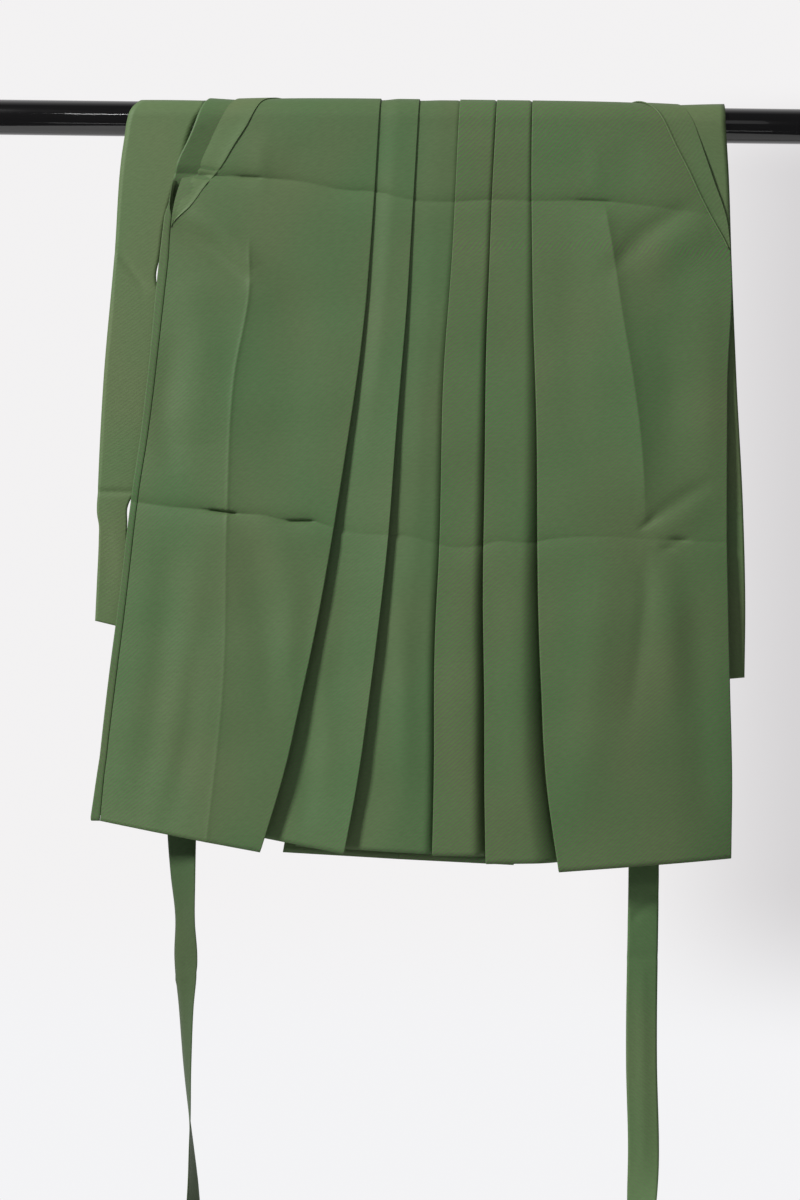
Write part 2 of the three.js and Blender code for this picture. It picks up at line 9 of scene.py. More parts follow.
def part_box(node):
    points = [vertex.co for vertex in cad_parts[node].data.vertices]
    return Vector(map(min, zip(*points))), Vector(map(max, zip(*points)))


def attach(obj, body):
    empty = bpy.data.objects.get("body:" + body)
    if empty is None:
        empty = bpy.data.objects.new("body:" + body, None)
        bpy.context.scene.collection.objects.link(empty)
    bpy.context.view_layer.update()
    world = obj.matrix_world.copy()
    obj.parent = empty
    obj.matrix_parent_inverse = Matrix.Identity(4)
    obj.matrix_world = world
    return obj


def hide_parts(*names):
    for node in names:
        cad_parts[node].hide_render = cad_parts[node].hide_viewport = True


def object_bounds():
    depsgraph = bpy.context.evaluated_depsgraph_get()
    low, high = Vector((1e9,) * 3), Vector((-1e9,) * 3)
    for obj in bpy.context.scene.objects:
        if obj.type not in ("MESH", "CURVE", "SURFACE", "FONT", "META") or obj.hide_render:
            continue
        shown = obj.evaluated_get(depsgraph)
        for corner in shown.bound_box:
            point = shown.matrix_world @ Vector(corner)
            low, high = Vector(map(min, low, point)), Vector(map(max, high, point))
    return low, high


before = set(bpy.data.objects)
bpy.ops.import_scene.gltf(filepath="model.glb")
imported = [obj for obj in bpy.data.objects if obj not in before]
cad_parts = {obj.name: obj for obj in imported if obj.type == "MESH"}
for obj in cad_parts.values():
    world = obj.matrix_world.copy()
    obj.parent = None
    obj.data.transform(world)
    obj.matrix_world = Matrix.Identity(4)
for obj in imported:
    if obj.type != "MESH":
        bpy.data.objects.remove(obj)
cad_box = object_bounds()
scene = bpy.context.scene

# The place it is shown in: a pale room, seen from straight in front, with the rail a
# little out of level in the view. A soft lamp stands high on the left, a weak one in front,
# two long strips draw the bright lines on the rail, and a pale floor lies below the ties.
VIEW_HEIGHT = 1.1944
VIEW_DISTANCE = 2.97
VIEW_MIDDLE = (-0.0063, -0.03, -0.4806)
RAIL_LEAN = 0.678
SENSOR = 36.0

camera_data = bpy.data.cameras.new("camera")
camera_data.sensor_fit = "VERTICAL"
camera_data.sensor_height = SENSOR
camera_data.lens = SENSOR * VIEW_DISTANCE / VIEW_HEIGHT
camera = bpy.data.objects.new("camera", camera_data)
scene.collection.objects.link(camera)
camera.location = (VIEW_MIDDLE[0], VIEW_MIDDLE[1] - VIEW_DISTANCE, VIEW_MIDDLE[2])
camera.rotation_euler = (math.radians(90), math.radians(-RAIL_LEAN), 0)
scene.camera = camera
scene.view_settings.view_transform = "Standard"


def soft_lamp(name, place, target, width, height, watts):
    lamp = bpy.data.lights.new(name, "AREA")
    lamp.shape = "RECTANGLE"
    lamp.size, lamp.size_y = width, height
    lamp.energy = watts
    holder = bpy.data.objects.new(name, lamp)
    scene.collection.objects.link(holder)
    holder.location = place
    aim = Vector(target) - Vector(place)
    holder.rotation_euler = aim.to_track_quat("-Z", "Y").to_euler()


CLOTH_MIDDLE = (0, 0, -0.45)
soft_lamp("lamp_left", (-3.5, -2.95, 2.55), CLOTH_MIDDLE, 0.9, 1.0, 300)
soft_lamp("lamp_front", (0.9, -3.2, 0.9), CLOTH_MIDDLE, 1.8, 1.2, 2)
soft_lamp("strip_upper", (-0.2, -2.6, 0.9), (0, 0, 0), 2.6, 0.03, 9)
soft_lamp("strip_lower", (0, -1.5, -1.42), (0, 0, 0), 2.6, 0.04, 0.8)

world = bpy.data.worlds.new("pale_room")
scene.world = world
world.use_nodes = True
sky = world.node_tree
sky.nodes.clear()
direction = sky.nodes.new("ShaderNodeTexCoord")
split = sky.nodes.new("ShaderNodeSeparateXYZ")
sky.links.new(direction.outputs["Generated"], split.inputs[0])
side, depth, height = (split.outputs[axis] for axis in "XYZ")


def ramped(tree, value, start, stop, low=0.0, high=1.0, kind="LINEAR"):
    """Low where the value is at start, high where it is at stop."""
    ramp = tree.nodes.new("ShaderNodeMapRange")
    ramp.interpolation_type = kind
    for name, limit in (("From Min", start), ("From Max", stop), ("To Min", low), ("To Max", high)):
        ramp.inputs[name].default_value = limit
    tree.links.new(value, ramp.inputs["Value"])
    return ramp.outputs["Result"]


def mixed(tree, factor, a, b, kind="MIX"):
    """Two colours mixed; each of the three is a plain value or another node's output."""
    mix = tree.nodes.new("ShaderNodeMix")
    mix.data_type = "RGBA"
    mix.blend_type = kind
    for name, given in (("Factor", factor), ("A", a), ("B", b)):
        if hasattr(given, "links"):
            tree.links.new(given, mix.inputs[name])
        else:
            mix.inputs[name].default_value = given
    return mix.outputs["Result"]


# The dim room that lights the cloth, then the wall as it is seen: greyed at the right, from the rail's height
# down, as painted shade, and faintly blue at the foot.
room = mixed(sky, ramped(sky, depth, -0.15, 0.45), (0.07, 0.07, 0.075, 1), (0.5, 0.495, 0.5, 1))
painted_wall_shade = sky.nodes.new("ShaderNodeMath")
painted_wall_shade.operation = "MULTIPLY"
sky.links.new(ramped(sky, side, 0.06, 0.15, kind="SMOOTHSTEP"), painted_wall_shade.inputs[0])
sky.links.new(ramped(sky, height, 0.172, 0.14, kind="SMOOTHSTEP"), painted_wall_shade.inputs[1])
wall = mixed(sky, painted_wall_shade.outputs["Value"], (0.895, 0.885, 0.89, 1), (0.645, 0.63, 0.64, 1))
wall = mixed(sky, ramped(sky, height, -0.09, -0.15, kind="SMOOTHSTEP"), wall, (0.9, 0.9, 0.915, 1))
seen = sky.nodes.new("ShaderNodeLightPath")
shine = sky.nodes.new("ShaderNodeBackground")
out = sky.nodes.new("ShaderNodeOutputWorld")
sky.links.new(mixed(sky, seen.outputs["Is Camera Ray"], room, wall), shine.inputs["Color"])
sky.links.new(shine.outputs["Background"], out.inputs["Surface"])

FLOOR_BELOW = 0.06
disc = bmesh.new()
bmesh.ops.create_circle(disc, cap_ends=True, radius=1.25, segments=96)
bmesh.ops.translate(disc, verts=disc.verts, vec=(0, 0, cad_box[0][2] - FLOOR_BELOW))
floor_mesh = bpy.data.meshes.new("floor")
disc.to_mesh(floor_mesh)
disc.free()
floor = bpy.data.objects.new("floor", floor_mesh)
scene.collection.objects.link(floor)
plaster = bpy.data.materials.new("pale_floor")
plaster.use_nodes = True
matt = plaster.node_tree.nodes["Principled BSDF"]
matt.inputs["Base Color"].default_value = (0.8, 0.8, 0.79, 1)
matt.inputs["Roughness"].default_value = 0.7
floor.data.materials.append(plaster)

# The rail: a round steel tube, lacquered gloss black. Its stand is out of sight, so it
# ends in plain flat faces with a small worn chamfer.
MM = 0.001
CHAMFER = 0.6
low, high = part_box("rail")
RAIL_RADIUS = (high.z - low.z) / 2 / MM
bar = bmesh.new()
bmesh.ops.create_cone(
    bar, cap_ends=True, segments=128, radius1=RAIL_RADIUS * MM, radius2=RAIL_RADIUS * MM,
    depth=high.x - low.x,
    matrix=Matrix.Rotation(math.radians(90), 4, "Y"),
)
rims = [e for e in bar.edges if len({f.normal.to_tuple(1) for f in e.link_faces}) > 1
        and any(len(f.verts) > 4 for f in e.link_faces)]
bmesh.ops.bevel(bar, geom=rims, offset=CHAMFER * MM, segments=2, profile=0.5, affect="EDGES", material=-1)
for face in bar.faces:
    face.smooth = len(face.verts) == 4
rail_mesh = bpy.data.meshes.new("lacquered_rail")
bar.to_mesh(rail_mesh)
bar.free()
rail = bpy.data.objects.new("lacquered_rail", rail_mesh)
scene.collection.objects.link(rail)
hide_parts("rail")
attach(rail, "root")

lacquer = bpy.data.materials.new("black_lacquer")
lacquer.use_nodes = True
nodes, links = lacquer.node_tree.nodes, lacquer.node_tree.links
shader = nodes["Principled BSDF"]
shader.inputs["Coat Weight"].default_value = 1.0
shader.inputs["Coat Roughness"].default_value = 0.02
where = nodes.new("ShaderNodeTexCoord")
along = nodes.new("ShaderNodeMapping")
along.inputs["Scale"].default_value = (3, 40, 40)
peel = nodes.new("ShaderNodeTexNoise")
peel.inputs["Scale"].default_value = 6
peel.inputs["Detail"].default_value = 4
ripple = nodes.new("ShaderNodeBump")
ripple.inputs["Strength"].default_value = 0.04
ripple.inputs["Distance"].default_value = 0.001
links.new(where.outputs["Object"], along.inputs["Vector"])
links.new(along.outputs["Vector"], peel.inputs["Vector"])
links.new(peel.outputs["Fac"], ripple.inputs["Height"])
black = mixed(lacquer.node_tree, peel.outputs["Fac"], (0.0028, 0.0026, 0.0028, 1),
              (0.0048, 0.0044, 0.0042, 1))
links.new(black, shader.inputs["Base Color"])
links.new(ramped(lacquer.node_tree, peel.outputs["Fac"], 0, 1, 0.07, 0.15), shader.inputs["Roughness"])
links.new(ripple.outputs["Normal"], shader.inputs["Normal"])
rail.data.materials.append(lacquer)

# The cloth: one fine ribbed weave, moss green shot with olive, with the dull sheen of
# pressed hakama cloth. Threads run across and down each piece as it was cut.


def weave_group():
    group = bpy.data.node_groups.new("ribbed_weave", "ShaderNodeTree")
    for name, kind, way, value in (
        ("Threads", "NodeSocketVector", "INPUT", None),
        ("Shade", "NodeSocketFloat", "INPUT", 1.0),
        ("Olive", "NodeSocketFloat", "INPUT", 0.5),
        ("Twill", "NodeSocketFloat", "INPUT", 0.5),
        ("Colour", "NodeSocketColor", "OUTPUT", None),
        ("Roughness", "NodeSocketFloat", "OUTPUT", None),
        ("Height", "NodeSocketFloat", "OUTPUT", None),
    ):
        socket = group.interface.new_socket(name, in_out=way, socket_type=kind)
        if value is not None:
            socket.default_value = value
    nodes, links = group.nodes, group.links
    given, put = nodes.new("NodeGroupInput"), nodes.new("NodeGroupOutput")

    def noise(scale, detail, stretch):
        lay = nodes.new("ShaderNodeMapping")
        lay.inputs["Scale"].default_value = stretch
        cloud = nodes.new("ShaderNodeTexNoise")
        cloud.inputs["Scale"].default_value = scale
        cloud.inputs["Detail"].default_value = detail
        links.new(given.outputs["Threads"], lay.inputs["Vector"])
        links.new(lay.outputs["Vector"], cloud.inputs["Vector"])
        return cloud.outputs["Fac"]

    def lines(angle, pitch, wander):
        turn = nodes.new("ShaderNodeMapping")
        turn.inputs["Rotation"].default_value = (0, 0, math.radians(angle))
        wave = nodes.new("ShaderNodeTexWave")
        wave.bands_direction = "X"
        wave.inputs["Scale"].default_value = 2 * math.pi / pitch / 20
        wave.inputs["Distortion"].default_value = wander
        wave.inputs["Detail"].default_value = 1
        wave.inputs["Detail Scale"].default_value = 0.06
        links.new(given.outputs["Threads"], turn.inputs["Vector"])
        links.new(turn.outputs["Vector"], wave.inputs["Vector"])
        return wave.outputs["Fac"]

    green, olive, brown = (0.064, 0.200, 0.050, 1), (0.104, 0.190, 0.056, 1), (0.122, 0.112, 0.086, 1)
    patches = noise(7.0, 2.0, (1.3, 0.8, 1))
    twill = lines(-50, 0.0031, 12.0)
    slubs = noise(320.0, 2.0, (0.5, 1.4, 1))
    yellowed = nodes.new("ShaderNodeMath")
    yellowed.operation = "ADD"
    yellowed.use_clamp = True
    links.new(ramped(group, patches, 0.36, 0.66, -0.4, 0.4), yellowed.inputs[0])
    links.new(given.outputs["Olive"], yellowed.inputs[1])
    base = mixed(group, yellowed.outputs[0], green, olive)
    browned = nodes.new("ShaderNodeMix")  # from an even brown cast to plain brown lines
    browned.inputs["A"].default_value = 0.425
    links.new(given.outputs["Twill"], browned.inputs["Factor"])
    links.new(ramped(group, twill, 0.2, 0.8, 0.0, 0.85), browned.inputs["B"])
    shot = mixed(group, browned.outputs["Result"], base, brown)
    worn = mixed(group, 1.0, shot, ramped(group, slubs, 0.3, 0.7, 0.95, 1.05), "MULTIPLY")
    toned = mixed(group, 1.0, worn, given.outputs["Shade"], "MULTIPLY")
    height = nodes.new("ShaderNodeMath")
    height.operation = "ADD"
    links.new(lines(90, 0.0011, 0.4), height.inputs[0])
    links.new(twill, height.inputs[1])
    links.new(toned, put.inputs["Colour"])
    links.new(ramped(group, patches, 0.3, 0.7, 0.50, 0.60), put.inputs["Roughness"])
    links.new(height.outputs[0], put.inputs["Height"])
    return group


def cloth_material(name, shade, olive, twill):
    """Hakama cloth: how light or dark it is drawn (near 1; the front ties' values paint light and shade), how
    far toward olive it is tinted, how plain its twill.
    """
    cloth = bpy.data.materials.new(name)
    cloth.use_nodes = True
    nodes, links = cloth.node_tree.nodes, cloth.node_tree.links
    shader = nodes["Principled BSDF"]
    shader.inputs["Specular IOR Level"].default_value = 0.22
    shader.inputs["Sheen Weight"].default_value = 0.06
    shader.inputs["Sheen Roughness"].default_value = 0.45
    threads = nodes.new("ShaderNodeUVMap")
    threads.uv_map = "cut"
    weave = nodes.new("ShaderNodeGroup")
    weave.node_tree = ribbed_weave
    weave.inputs["Shade"].default_value = shade
    weave.inputs["Olive"].default_value = olive
    weave.inputs["Twill"].default_value = twill
    relief = nodes.new("ShaderNodeBump")
    relief.inputs["Strength"].default_value = 0.25
    relief.inputs["Distance"].default_value = 0.0002
    links.new(threads.outputs["UV"], weave.inputs["Threads"])
    links.new(weave.outputs["Colour"], shader.inputs["Base Color"])
    links.new(weave.outputs["Roughness"], shader.inputs["Roughness"])
    links.new(weave.outputs["Height"], relief.inputs["Height"])
    links.new(relief.outputs["Normal"], shader.inputs["Normal"])
    return cloth


ribbed_weave = weave_group()
left_cloth = cloth_material("left_cloth", 1.04, 0.45, 0.45)
right_cloth = cloth_material("right_cloth", 1.08, 0.6, 0.85)
band_cloth = cloth_material("band_cloth", 1.18, 0.85, 0.25)
# The two front ties are one cloth: the left copy is darkened as painted shade and the right copy lightened as
# painted light, for how each lies to the lamp and in the hem's shadow.
tie_cloths_painted_light_and_shade = dict(
    left=cloth_material("left_tie_painted_shade_cloth", 0.68, 0.45, 0.3),
    right=cloth_material("right_tie_painted_light_cloth", 1.14, 0.45, 0.3),
)

# The two front legs are each one length of cloth, folded into pressed knife pleats and
# hung over the rail. Two pleats face right on the left leg, three face left on the right
# leg. Sizes are millimetres; a drop is measured down the cloth, from the rail's level.
TURN = 23.0  # the cloth's length over the rail is measured this far from its axis
OVER = math.pi * TURN
WAIST = -180.0
HEM = 735.0
LOOSE = 640.0  # from here down, each layer runs out to its own hem
TIGHT = -140.0  # from here back, each layer runs out to the sloping waist line
HANG_SLOPE = 0.052
WAIST_CENTRE = 56.5
SHELL = 0.5  # one layer of this cloth

# Visible fold edge of each pleat down the cloth, how far its top layer stands off at the
# rail and at the hem, how deep it tucks, and where its layers end at the hem.
PLEATS = [
    dict(edge=[(-180, -22), (0, -33), (105, -38), (260, -52), (410, -73), (560, -99), (650, -118),
               (735, -142)],
         stand=[(0, 1.6), (105, 2.4), (260, 5), (410, 9), (560, 12), (735, 14)], tuck=(24, 60),
         over=731.5, under=718, inner=712),
    dict(edge=[(-180, 15), (0, 6), (105, 1), (260, -8), (410, -19), (560, -33), (650, -45), (735, -59)],
         stand=[(0, 1.6), (105, 2.4), (260, 5), (410, 8), (560, 10), (735, 12)], tuck=(24, 48),
         over=732.5, under=728.5, inner=726),
    dict(edge=[(-180, 57), (0, 47), (105, 43), (260, 35), (410, 32), (560, 29), (650, 29), (735, 29)],
         stand=[(0, 1.6), (105, 2), (260, 4), (410, 6), (560, 8), (735, 9)], tuck=(24, 30),
         fall=[(0, 3), (260, 6), (735, 8)], over=733.5, under=732.5, inner=733),
    dict(edge=[(-180, 94), (0, 84), (105, 80), (260, 77), (410, 76), (560, 78), (650, 79), (735, 82)],
         stand=[(0, 1.6), (105, 2), (260, 4.5), (410, 8), (560, 11), (735, 13)], tuck=(24, 34),
         fall=[(0, 3), (260, 7), (410, 10), (735, 13)], over=740.5, under=733.5, inner=736),
    dict(edge=[(-180, 130), (0, 120), (105, 121), (260, 126), (410, 130), (560, 134), (650, 140), (735, 154)],
         stand=[(0, 1.6), (105, 2.4), (260, 5), (410, 8.5), (560, 12), (735, 15)], tuck=(24, 48),
         fall=[(0, 3), (105, 5), (260, 10), (520, 18), (735, 25)], over=747.7, under=739, inner=741),
]
SEAM = 9.0  # the centre seam lies this far under the middle pleat
# Side edges of the two legs and their pressed ridges, as (drop, x).
FRONT_LEFT = [(-180, -98.5), (-72, -152), (-36, -170), (-16, -181), (0, -189), (20, -198.5), (47, -210.5),
              (80, -227), (105, -236.5), (150, -241.5), (260, -252.5), (410, -268.5), (560, -287),
              (650, -296.5), (735, -301.5)]
FRONT_RIGHT = [(-180, 211.5), (-72, 247), (-36, 263), (0, 280.5), (30, 291.5), (59, 301.7), (94, 314.2),
               (125, 318.5), (260, 317), (410, 318), (560, 322), (650, 325), (735, 325)]
RIDGE_LEFT = [(-180, -62), (0, -120), (123, -160.6), (170, -160), (260, -174), (400, -179.3), (560, -180.4),
              (735, -196)]
RIDGE_RIGHT = [(-180, 168), (0, 186), (81, 193), (129, 201.6), (196, 212.3), (256, 223), (322, 231.8),
               (375, 235.5), (473, 234.6), (527, 229.9), (735, 228)]
# How far each layer lies from the rail's axis, as (drop, radius).
FRONT_BASE = [(-180, 21.2), (0, 21.2), (77, 21.6), (170, 23), (260, 25), (410, 29.5), (560, 34.5),
              (735, 39.5)]
FRONT_SIDE = [(-180, 20.5), (0, 20.5), (77, 21), (105, 22), (260, 26), (410, 30), (560, 33), (735, 36)]
BACK_SIDE = [(-180, 19.6), (0, 19.6), (105, 19.8), (260, 22), (410, 25), (560, 27), (735, 29.6)]
SIDE_HEM = dict(left=698, left_seam=703.5, right=733.5, back_right=731)
# The two creases from being folded away, as (x, drop), the even rows that bend to follow
# them, and how far above and below a row the bend reaches.
STORED_UPPER = [(-300, 55), (-197, 58.5), (-147, 61), (-110, 64), (-67, 72), (-35, 73.5), (-1, 81),
                (41, 82.5), (80, 80), (121, 80.7), (183, 80), (229, 83.5), (304, 92.5), (340, 95)]
STORED_LOWER = [(-320, 384), (-270, 386.5), (-242, 390), (-199, 393.5), (-167, 397), (-147, 397.5),
                (-117, 403.5), (-92, 404), (-72, 410), (-46, 415), (-5, 416.5), (20, 421.5), (33, 425.5),
                (73, 425.5), (85, 422), (123, 422), (140, 419), (293, 419), (340, 419)]
UPPER_ROW, LOWER_ROW = 80.0, 410.0
UPPER_REACH, LOWER_REACH = 45, 70


def smooth(table, at):
    """Reads (drop, size) pairs as one smooth curve."""
    d, s = np.array(table, float).T
    at = np.asarray(at, float)
    slope = np.gradient(s, d)
    k = np.clip(np.searchsorted(d, at) - 1, 0, len(d) - 2)
    span = d[k + 1] - d[k]
    t = np.clip((at - d[k]) / span, 0, 1)
    rise = s[k] * (1 + 2 * t) * (1 - t) ** 2 + s[k + 1] * t * t * (3 - 2 * t)
    return rise + span * t * (1 - t) * (slope[k] * (1 - t) - slope[k + 1] * t)


def fade(value, start, stop):
    """0 at start, 1 at stop, and smooth between."""
    t = np.clip((value - start) / (stop - start), 0, 1)
    return t * t * (3 - 2 * t)


def spaced(stops):
    """Drops from stop to stop: each stop is a drop and the spacing of rows near it."""
    rows = [stops[0][0]]
    for (a, near), (b, far) in zip(stops, stops[1:]):
        count = max(1, round(2 * (b - a) / (near + far)))
        share = np.arange(1, count + 1) / count
        bend = (far - near) / (far + near) / 2
        rows.extend(a + (b - a) * (share + bend * share * (share - 1)))
    return np.array(rows)


ROWS = spaced([(WAIST, 6), (-120, 6), (-OVER, 2.6), (0, 2.6), (30, 5), (66, 3.5), (76, 1.6),
               (UPPER_ROW, 1.2), (86, 1.8), (96, 4), (240, 5), (380, 5), (400, 1.8), (LOWER_ROW, 1.2),
               (417, 1.8), (436, 4.5), (600, 5.5), (HEM, 5)])


def hang(x, drop, r):
    """Where a point of cloth lies: down the front, over the rail, or down behind it."""
    angle = np.clip(-drop / TURN, 0, math.pi)
    return np.stack([
        x,
        -np.cos(angle) * r,
        np.sin(angle) * r - np.maximum(drop, 0) + np.minimum(drop + OVER, 0),
    ], axis=-1)


def line_dent(x, drop, path, width, height):
    """A soft ridge, or a trough where height is below 0, along a path of points."""
    nearest = np.full(x.shape, np.inf)
    share = np.zeros(x.shape)
    whole = len(path) - 1
    for k in range(whole):
        (x0, d0), (x1, d1) = path[k], path[k + 1]
        run = ((x - x0) * (x1 - x0) + (drop - d0) * (d1 - d0)) / ((x1 - x0) ** 2 + (d1 - d0) ** 2)
        run = np.clip(run, 0, 1)
        away = np.hypot(x - x0 - run * (x1 - x0), drop - d0 - run * (d1 - d0))
        share = np.where(away < nearest, (k + run) / whole, share)
        nearest = np.minimum(nearest, away)
    return height * np.exp(-(nearest / width) ** 2) * np.sqrt(np.clip(4 * share * (1 - share), 0.05, 1))


# Creases from being folded away, and the soft folds of hanging: path, width, height.
SOFT_FOLDS = [
    ([(-240, 104), (-200, 132), (-158, 168)], 10, -2.6),
    ([(-222, 160), (-206, 230), (-214, 330)], 22, 1.6),
    ([(-222, 94), (-188, 116), (-154, 152)], 11, 1.5),
    ([(-236, 220), (-244, 300), (-232, 360)], 14, -1.4),
    ([(-120, 150), (-112, 250), (-128, 360)], 24, -0.8),
    ([(-150, 15), (-150, 76)], 9, 0.6),
    ([(-112, 24), (-118, 70)], 16, -0.4),
    ([(-236, 430), (-243, 560), (-262, 690)], 15, -1.6),
    ([(-206, 430), (-212, 540), (-236, 716)], 12, 0.8),
    ([(-208, 520), (-216, 620), (-236, 720)], 10, -1.5),
    ([(-158, 420), (-138, 520), (-130, 600)], 16, -1.3),
    ([(-132, 410), (-112, 480), (-118, 570)], 14, 1.0),
    ([(198, 152), (234, 112), (280, 82)], 9, -1.6),
    ([(232, 160), (262, 122), (300, 104)], 18, 1.4),
    ([(250, 190), (262, 260), (258, 350)], 16, -0.9),
    ([(292, 150), (300, 260), (296, 380)], 16, 0.8),
    ([(160, 96), (160, 200), (168, 330)], 18, -0.6),
    ([(182, 20), (186, 70)], 10, 0.5),
    ([(214, 16), (222, 66)], 12, -0.5),
    ([(234, 404), (256, 388), (282, 370), (303, 360)], 6, -1.3),
    ([(231, 407), (240, 401), (250, 393)], 2.4, -1.2),
    ([(240, 420), (262, 404), (296, 386)], 12, 0.9),
    ([(262, 417), (281, 417.5)], 3.0, -1.6),
    ([(255, 428), (266, 423)], 3.0, -1.2),
    ([(236, 440), (238, 476), (232, 530), (222, 600)], 9, -0.9),
    ([(254, 430), (262, 500), (262, 590)], 16, 1.5),
    ([(196, 436), (190, 540), (176, 680)], 22, 1.5),
    ([(286, 470), (292, 580), (300, 700)], 18, -1.3),
    ([(-74, 450), (-86, 560), (-80, 660)], 13, 1.4),
    ([(-84, 560), (-100, 712)], 12, -1.3),
    ([(-10, 450), (-2, 560), (4, 690)], 10, 0.8),
    ([(56, 450), (52, 560), (58, 690)], 14, 0.5),
    ([(104, 460), (108, 560), (112, 690)], 12, 0.5),
]
FOLD_GAIN, CREASE_GAIN = 1.5, 2.2  # how deep a soft fold and a stored crease come out
# Where a stored crease is pinched sharp: its path, from x to x, and how deep.
PINCHES = [
    (STORED_LOWER, -202, -166, 4.2), (STORED_LOWER, -122, -90, 3.2), (STORED_LOWER, 264, 282, 1.0),
    (STORED_UPPER, -176, -146, 1.6), (STORED_UPPER, 164, 204, 1.4),
]
# How deep each stored crease is pressed, as (x, depth).
UPPER_DEPTH = [(-300, 1.2), (-200, 1.8), (-150, 2.0), (-110, 1.1), (-67, 1.3), (-35, 1.4), (0, 1.0),
               (80, 1.1), (121, 0.9), (140, 1.0), (190, 1.6), (229, 1.0), (304, 0.5), (340, 0.3)]
LOWER_DEPTH = [(-320, 0.8), (-270, 1.1), (-242, 1.2), (-205, 1.9), (-167, 1.7), (-147, 1.4), (-117, 1.9),
               (-92, 1.8), (-72, 0.8), (0, 0.7), (80, 0.8), (123, 0.9), (200, 0.5), (293, 0.6), (340, 0.4)]
# The slow unevenness of cloth that hangs free: direction in degrees, length, phase, height.
SLOW_WAVES = [
    (12, 210, 0.4, 0.5), (101, 150, 1.9, 0.45), (63, 118, 4.1, 0.28), (147, 83, 2.7, 0.2),
    (84, 61, 5.2, 0.14),
]


def crease(away, above, below):
    """The cross section of a pressed crease: sharp at its line, longer on one side."""
    return np.exp(-np.abs(away) / np.where(away < 0, above, below))


def relief(x, drop):
    """How far the cloth stands proud of its even hang."""
    out = np.zeros(x.shape)
    for path, depth in ((STORED_UPPER, UPPER_DEPTH), (STORED_LOWER, LOWER_DEPTH)):
        away = drop - smooth(path, x)
        out -= CREASE_GAIN * smooth(depth, x) * crease(away, 7, 8)
    for path, x0, x1, depth in PINCHES:
        away = drop - smooth(path, x)
        reach = fade(x, x0, x0 + 8) * fade(x, x1, x1 - 8)
        out -= depth * reach * np.exp(-((away + 0.4) / 1.4) ** 2)
    left = x - smooth(RIDGE_LEFT, drop)
    shown = fade(drop, 112, 150) * (1 - 0.35 * fade(drop, 390, 430))
    out += shown * (2.2 * crease(left, 24, 15) + 0.45 * np.exp(-(left / 1.6) ** 2))
    right = x - smooth(RIDGE_RIGHT, drop)
    out += 3.6 * fade(drop, 78, 104) * (1 - fade(drop, 340, 420)) * crease(right, 24, 12)
    for path, width, height in SOFT_FOLDS:
        out += FOLD_GAIN * line_dent(x, drop, path, width, height)
    for angle, length, phase, height in SLOW_WAVES:
        turn = math.radians(angle)
        out += height * np.sin((x * math.cos(turn) + drop * math.sin(turn)) * 2 * math.pi / length + phase)
    return out * fade(drop, 4, 34)


def column(x, r, hem, steps, full=lambda t: t):
    """A run of cloth between two edges: pairs of x, r and hem, and how it fills out."""
    t = (1 - np.cos(np.linspace(0, math.pi, steps + 1))) / 2
    return [
        (x[0] + (x[1] - x[0]) * share, r[0] + (r[1] - r[0]) * full(share), hem[0] + (hem[1] - hem[0]) * share)
        for share in t
    ]


def knife_fold(x, facing, r_from, r_to, hem):
    """The cloth turned sharply back on itself, outermost at x."""
    half = np.abs(r_to - r_from) / 2
    return [
        (x - facing * half * (1 - math.cos(a)), (r_from + r_to) / 2 + (r_from - r_to) / 2 * math.sin(a), hem)
        for a in np.radians([52, 22, -22, -52])
    ]


def lay_out(section, drops):
    """Turns a section's runs into the place of every point, and its place as cut."""
    x = np.stack([np.broadcast_to(part[0], drops.shape) for part in section], axis=1)
    r = np.stack([np.broadcast_to(part[1], drops.shape) for part in section], axis=1)
    hem = np.broadcast_to(np.array([float(part[2]) for part in section]), x.shape)
    row = np.broadcast_to(drops[:, None], x.shape)
    down = np.where(row > LOOSE, LOOSE + (row - LOOSE) * (hem - LOOSE) / (HEM - LOOSE), row)
    waist = WAIST + HANG_SLOPE * (x - WAIST_CENTRE)
    down = np.where(row < TIGHT, TIGHT + (row - TIGHT) * (waist - TIGHT) / (WAIST - TIGHT), down)
    for path, at, reach in ((STORED_UPPER, UPPER_ROW, UPPER_REACH), (STORED_LOWER, LOWER_ROW, LOWER_REACH)):
        down = down + (smooth(path, x) - at) * np.exp(-((row - at) / reach) ** 2)
    steps = np.cumsum(np.hypot(np.diff(x), np.diff(r)), axis=1)
    run = np.concatenate([np.zeros((len(drops), 1)), steps], axis=1)
    return x, down, r, np.stack([run - run[:, -1:] / 2, down], axis=-1)


def lay_sheet(name, points, cut, thickness=SHELL):
    """A flat grid of cloth, each crossing moved to its place, with its wall's thickness."""
    rows, columns = points.shape[:2]
    grid = bmesh.new()
    bmesh.ops.create_grid(grid, x_segments=columns - 1, y_segments=rows - 1, size=0.5)
    flat = np.array([vert.co[:2] for vert in grid.verts])
    across = np.rint((flat[:, 0] + 0.5) * (columns - 1)).astype(int)
    down = np.rint((0.5 - flat[:, 1]) * (rows - 1)).astype(int)
    for vert, place in zip(grid.verts, points[down, across] * MM):
        vert.co = place
    for face in grid.faces:
        face.smooth = True
    mesh = bpy.data.meshes.new(name)
    grid.to_mesh(mesh)
    grid.free()
    corner = np.empty(len(mesh.loops), int)
    mesh.loops.foreach_get("vertex_index", corner)
    mesh.uv_layers.new(name="cut").data.foreach_set("uv", (cut[down, across][corner] * MM).ravel())
    piece = bpy.data.objects.new(name, mesh)
    scene.collection.objects.link(piece)
    if thickness:
        wall = piece.modifiers.new("wall", "SOLIDIFY")
        wall.thickness = thickness * MM
        wall.offset = 0
    return piece


def finish_piece(piece, node, material):
    """Gives a cloth piece its material, hides the CAD part it stands for and hangs it under the root."""
    piece.data.materials.append(material)
    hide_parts(node)
    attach(piece, "root")


